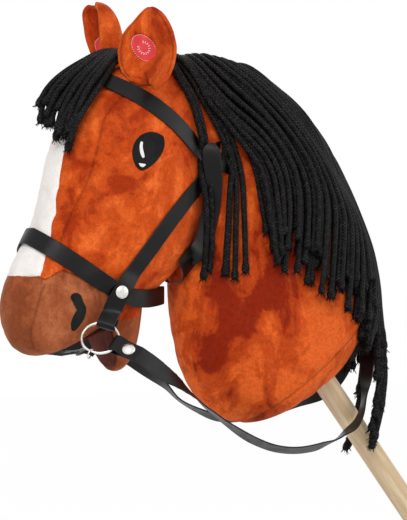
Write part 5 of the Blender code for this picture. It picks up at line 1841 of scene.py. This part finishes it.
def upper_seat(layers, centre):
    """Where an upper rivet lies on the straps, and the way it faces, square to what is round it."""
    out = layers.nearest_out(centre)
    for _ in range(3):
        rows = facing(centre, out).to_3x3()
        found = []
        for k in range(6):
            angle = k * math.pi / 3
            step = rows @ Vector((math.cos(angle), math.sin(angle), 0)) * 5 * MM
            found.append(layers.top(centre + step + out * PROBE, -out) or centre + step)
        total = Vector()
        for a, b, c in zip(found, found[1:] + found[:1], found[2:] + found[:2]):
            total += (b - a).cross(c - b)
        total.normalize()
        out = total if total.dot(out) > 0 else -total
    return layers.top(centre + out * PROBE, -out) or centre, out


def behind_chin(over_nose):
    """Sections that close the noseband behind the chin, where it stands on edge."""
    (first, first_side, _), (last, last_side, _) = over_nose[0], over_nose[-1]
    before = last + (last - over_nose[-3][0]).normalized() * 5 * MM
    after = first + (first - over_nose[2][0]).normalized() * 5 * MM
    near = [at(*place) for place in NOSEBAND_CHIN]
    far = [mirrored(place) for place in near]
    middles = smooth_path([last, before, *far, at(*NOSEBAND_BACK), *reversed(near), after, first], 4 * MM)
    made = []
    for middle, along in zip(middles, tangents(middles)):
        side = Vector((0, 0, 1))
        for end, end_side in ((last, last_side), (first, first_side)):
            side = end_side.lerp(side, eased(min((middle - end).length / (18 * MM), 1.0)))
        side = (side - along * side.dot(along)).normalized()
        made.append((middle, side, side.cross(along).normalized()))
    return made[1:-1]


def lower_seat(layers, skin, above, below):
    """The flat run of the cheek strap under its lower rivet, and the way the rivet faces."""
    place, normal = sighted(skin, *LOWER_RIVET_SEEN)
    view = (EYE_POINT - place).normalized()
    out = (normal * 0.4 + view * 0.6).normalized()
    along = (below - above).normalized()
    along = (along - out * along.dot(out)).normalized()
    side = along.cross(out).normalized()
    rise = 0.0
    for across in (-8, -4, 0, 4, 8):
        for ahead in (-6, 0, 6):
            top = layers.top(place + (side * across + along * ahead) * MM + out * PROBE, -out)
            if top is not None:
                rise = max(rise, (top - place).dot(out) + 0.3 * MM)
    middle = place + view * rise / view.dot(out)
    return [(middle + along * step * MM, side, out) for step in (-4, 0, 4)], out


def mirrored_sections(sections):
    return [(mirrored(middle), -mirrored(side), mirrored(out)) for middle, side, out in sections]


def joined_sections(first, second, count=7):
    """Two runs of strap sections with an even passage from the one to the other."""
    (p0, side0, out0), (p1, side1, out1) = first[-1], second[0]
    reach = (p1 - p0).length
    along0 = (first[-1][0] - first[-3][0]).normalized() * reach
    along1 = (second[2][0] - second[0][0]).normalized() * reach
    made = []
    for k in range(1, count):
        t = k / count
        a, b = 2 * t**3 - 3 * t**2 + 1, t**3 - 2 * t**2 + t
        c, d = 3 * t**2 - 2 * t**3, t**3 - t**2
        place = p0 * a + along0 * b + p1 * c + along1 * d
        made.append((place, side0.lerp(side1, t).normalized(), out0.lerp(out1, t).normalized()))
    return [*first, *made, *second]


# The rein's route in millimetres, from the near ring to the back of the neck, and on to the far ring
REIN_MEETS = (-10, 0, 135)
REIN_NEAR = (
    (-312, -83, 107), (-296, -80, 97), (-274, -73, 85.5), (-255, -65, 73.5), (-234, -58, 59),
    (-205, -50, 41.5),
    (-170, -40, 24), (-138, -35, 14), (-106, -32, 12), (-70, -28, 18), (-44, -25, 31), (-31, -23, 45),
    (-23, -19, 68), (-15, -11, 100), REIN_MEETS,
)
REIN_FAR = (
    (-14, 12, 128), (-19, 22, 102), (-28, 28, 80), (-46, 29, 66), (-75, 30, 58), (-104, 32, 50),
    (-142, 38, 43),
    (-165, 41, 44), (-187, 43, 52), (-208, 44, 63), (-222, 47, 77), (-240, 53, 92), (-258, 62, 106),
    (-278, 74, 115), (-300, 83, 118),
)
REIN_FACING = (-0.5, -0.866, 0.0)
# The rein's twist about itself, in degrees from edge-on to that view, by the share of its length
REIN_TURNS = (
    (0.00, -30), (0.03, -36), (0.048, -50), (0.062, -64), (0.076, -76), (0.09, -86), (0.104, -92),
    (0.14, -100), (0.22, -114), (0.32, -112), (0.355, -92),
    (0.38, -72), (0.42, -80), (0.46, -45), (0.50, 0), (0.55, 10), (0.60, -30), (0.68, -50), (0.76, -60),
    (0.83, -80), (0.90, -38), (0.96, -22), (1.00, -18),
)
REIN_THICKNESS = 1.5 * MM
REIN_SETTLES = 45 * MM  # the stretch at each end on which the twist goes over to the fold's
REIN_BENDS = 0.13  # a length along the rein, in metres; the point that far along is found but not used


def rein_turn(share):
    """The rein's twist at a share of its length."""
    k = max(j for j in range(len(REIN_TURNS) - 1) if REIN_TURNS[j][0] <= share)
    (low, from_turn), (high, to_turn) = REIN_TURNS[k : k + 2]
    return math.radians(from_turn + (to_turn - from_turn) * eased((share - low) / (high - low)))


def make_reins():
    """One long strap; it twists as it hangs and passes behind the neck."""
    starts = []
    for side in ("near", "far"):
        wire, out, normal = on_ring(side, REIN_ANGLE)
        starts.append((wire + out * (REIN_FOLD_LENGTH - 1 * MM) + normal * FOLD_SHUT, out, normal))
    (start, out, normal), (end, far_out, far_normal) = starts
    knots = [start, *(at(*p) for p in REIN_NEAR), *(at(*p) for p in REIN_FAR), end]
    middles = smooth_path(knots, 4 * MM)
    directions = tangents(middles)
    directions[0], directions[-1] = out, -far_out
    lengths = distances_along(middles)
    facing_to = Vector(REIN_FACING)
    sections = []
    for middle, along, length in zip(middles, directions, lengths):
        turn = rein_turn(length / lengths[-1])
        flat = facing_to.cross(along).normalized()
        side = flat * math.cos(turn) + facing_to * math.sin(turn)
        if not sections:
            side = -out.cross(normal)
        for gap, edge in ((length, -out.cross(normal)), (lengths[-1] - length, far_out.cross(far_normal))):
            if gap < REIN_SETTLES:
                if edge.dot(side) < 0:
                    edge.negate()
                side = edge.lerp(side, eased(gap / REIN_SETTLES))
        side = (side - along * side.dot(along)).normalized()
        if sections and side.dot(sections[-1][1]) < 0:
            side.negate()
        sections.append((middle, side, side.cross(along).normalized()))
    if sections[0][2].dot(normal) < 0:
        sections = [(middle, -side, -face) for middle, side, face in sections]
    half = min(range(len(middles)), key=lambda k: (middles[k] - at(*REIN_MEETS)).length)
    for name, part_of, body in (
        ("rein_near", sections[: half + 1], "rein_ring_set_near"),
        ("rein_far", sections[half - 1 :][::-1], "rein_ring_set_far"),
    ):
        if name == "rein_far":
            part_of = [
                (middle + out_way * REIN_THICKNESS, side, -out_way) for middle, side, out_way in part_of
            ]
        piece = strap(name, part_of, thickness=REIN_THICKNESS, cad=["reins"] if name == "rein_near" else None)
        line = [middle + out_way * REIN_THICKNESS / 2 for middle, _, out_way in part_of]
        bend_from = min(range(len(line)), key=lambda k: abs(length_of(line[: k + 1]) - REIN_BENDS))
        tuple(line[bend_from])
        tuple(line[1])
        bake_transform(piece)
        tuple(line[0])
        length_of(line)
        [tuple(point) for point in line]


def make_bit(links):
    """Narrow strap through the mouth, in two halves that meet in the middle."""
    for side, (link, way, out) in zip(("near", "far"), links):
        flip = 1 if side == "near" else -1
        route = [
            link - way * 4 * MM, link + way * 4 * MM, at(-362, -34 * flip, 114), at(-350, -20 * flip, 114),
            at(-344, -6 * flip, 116), at(-343, 0, 116),
        ]
        middles = smooth_path(route, 3 * MM)
        directions = tangents(middles)
        flat = Vector((0.9, 0, 0.43))
        edge = out.cross(directions[0])
        if edge.dot(flat) < 0:
            edge.negate()
        sections = []
        for k, (middle, along) in enumerate(zip(middles, directions)):
            side_way = edge.lerp(flat, clamped((k - 2) / 8))
            side_way = (side_way - along * side_way.dot(along)).normalized()
            sections.append((middle, side_way, side_way.cross(along).normalized()))
        cad = ["bit_strap"] if side == "near" else None
        piece = strap("bit_strap_" + side, sections, width=6.5 * MM, thickness=1.4 * MM, cad=cad)
        tuple(route[1])
        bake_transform(piece)


# Stage and light


def add_for_camera(tree, plain, seen, target, share=None):
    """Mix in what only the camera and glossy rays see."""
    rays = node(tree, "ShaderNodeLightPath")
    shown = math_node(tree, "MAXIMUM", rays.outputs["Is Camera Ray"], rays.outputs["Is Glossy Ray"])
    if share is not None:
        shown = times(tree, shown, share)
    mix = node(tree, "ShaderNodeMixShader", {"Fac": shown, 1: plain, 2: seen})
    tree.links.new(mix.outputs["Shader"], target)


def make_stage():
    bpy.ops.object.select_all(action="DESELECT")
    bpy.ops.mesh.primitive_plane_add(size=14, location=(0, 0, cad_box[0][2]))
    floor = bpy.context.object
    floor.name = "floor"
    made, tree, shader = new_material("floor_white")
    shader.inputs["Base Color"].default_value = (0.88, 0.88, 0.88, 1)
    shader.inputs["Roughness"].default_value = 0.9
    glow = node(tree, "ShaderNodeEmission", Color=(1, 1, 1, 1), Strength=1.015).outputs["Emission"]
    add_for_camera(tree, shader.outputs["BSDF"], glow, tree.nodes["Material Output"].inputs["Surface"], 0.95)
    floor.data.materials.append(made)


# Area lamps: name, place, power and size
LAMPS = (
    ("key", (-1.6, -1.9, 1.9), 34.0, 1.4),
    ("fill", (1.7, -1.6, 0.9), 14.0, 1.6),
    ("back", (0.6, 1.8, 1.6), 14.0, 1.6),
)


def make_light():
    world = bpy.data.worlds.new("studio")
    bpy.context.scene.world = world
    world.use_nodes = True
    tree = world.node_tree
    light = tree.nodes["Background"]
    light.inputs["Color"].default_value = (1, 1, 1, 1)
    light.inputs["Strength"].default_value = 0.55
    seen = node(tree, "ShaderNodeBackground", Color=(1, 1, 1, 1), Strength=1.0)
    target = tree.nodes["World Output"].inputs["Surface"]
    add_for_camera(tree, light.outputs["Background"], seen.outputs["Background"], target)
    for name, place, power, size in LAMPS:
        bpy.ops.object.light_add(type="AREA", location=place)
        lamp = bpy.context.object
        lamp.name = name
        lamp.data.energy = power
        lamp.data.size = size
        lamp.rotation_euler = (AIM - lamp.location).to_track_quat("-Z", "Y").to_euler()
    bpy.context.scene.view_settings.view_transform = "Standard"


PLASTIC_NODES = (
    "stick_socket", "sound_box", "sound_box_lid", "ear_plunger_near", "ear_plunger_far", "ear_switch_near",
    "ear_switch_far",
)


def dress_cad():
    """Materials of the CAD nodes that stay."""
    for name in ("stick", *PLASTIC_NODES):
        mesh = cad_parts[name].data
        mesh.materials.clear()
        mesh.materials.append(WOOD if name == "stick" else PLASTIC)


make_reins()
head, muzzle, jaw, neck = make_plush()
head_tree, muzzle_tree = tree_of(head), tree_of(muzzle)
make_face(head_tree, muzzle_tree)
make_near_ear()
make_far_ear()
blaze = make_blaze(tree_of(head, muzzle))
make_mouth()
for side in ("near", "far"):
    make_patch(side)
straps, brow = make_bridle(head, muzzle, jaw, neck, blaze)
make_mane(tree_of(head, neck, *straps))
make_forelock(tree_of(head, brow, blaze))
make_bit([make_ring_set(side) for side in ("near", "far")])
dress_cad()
make_stage()
make_light()
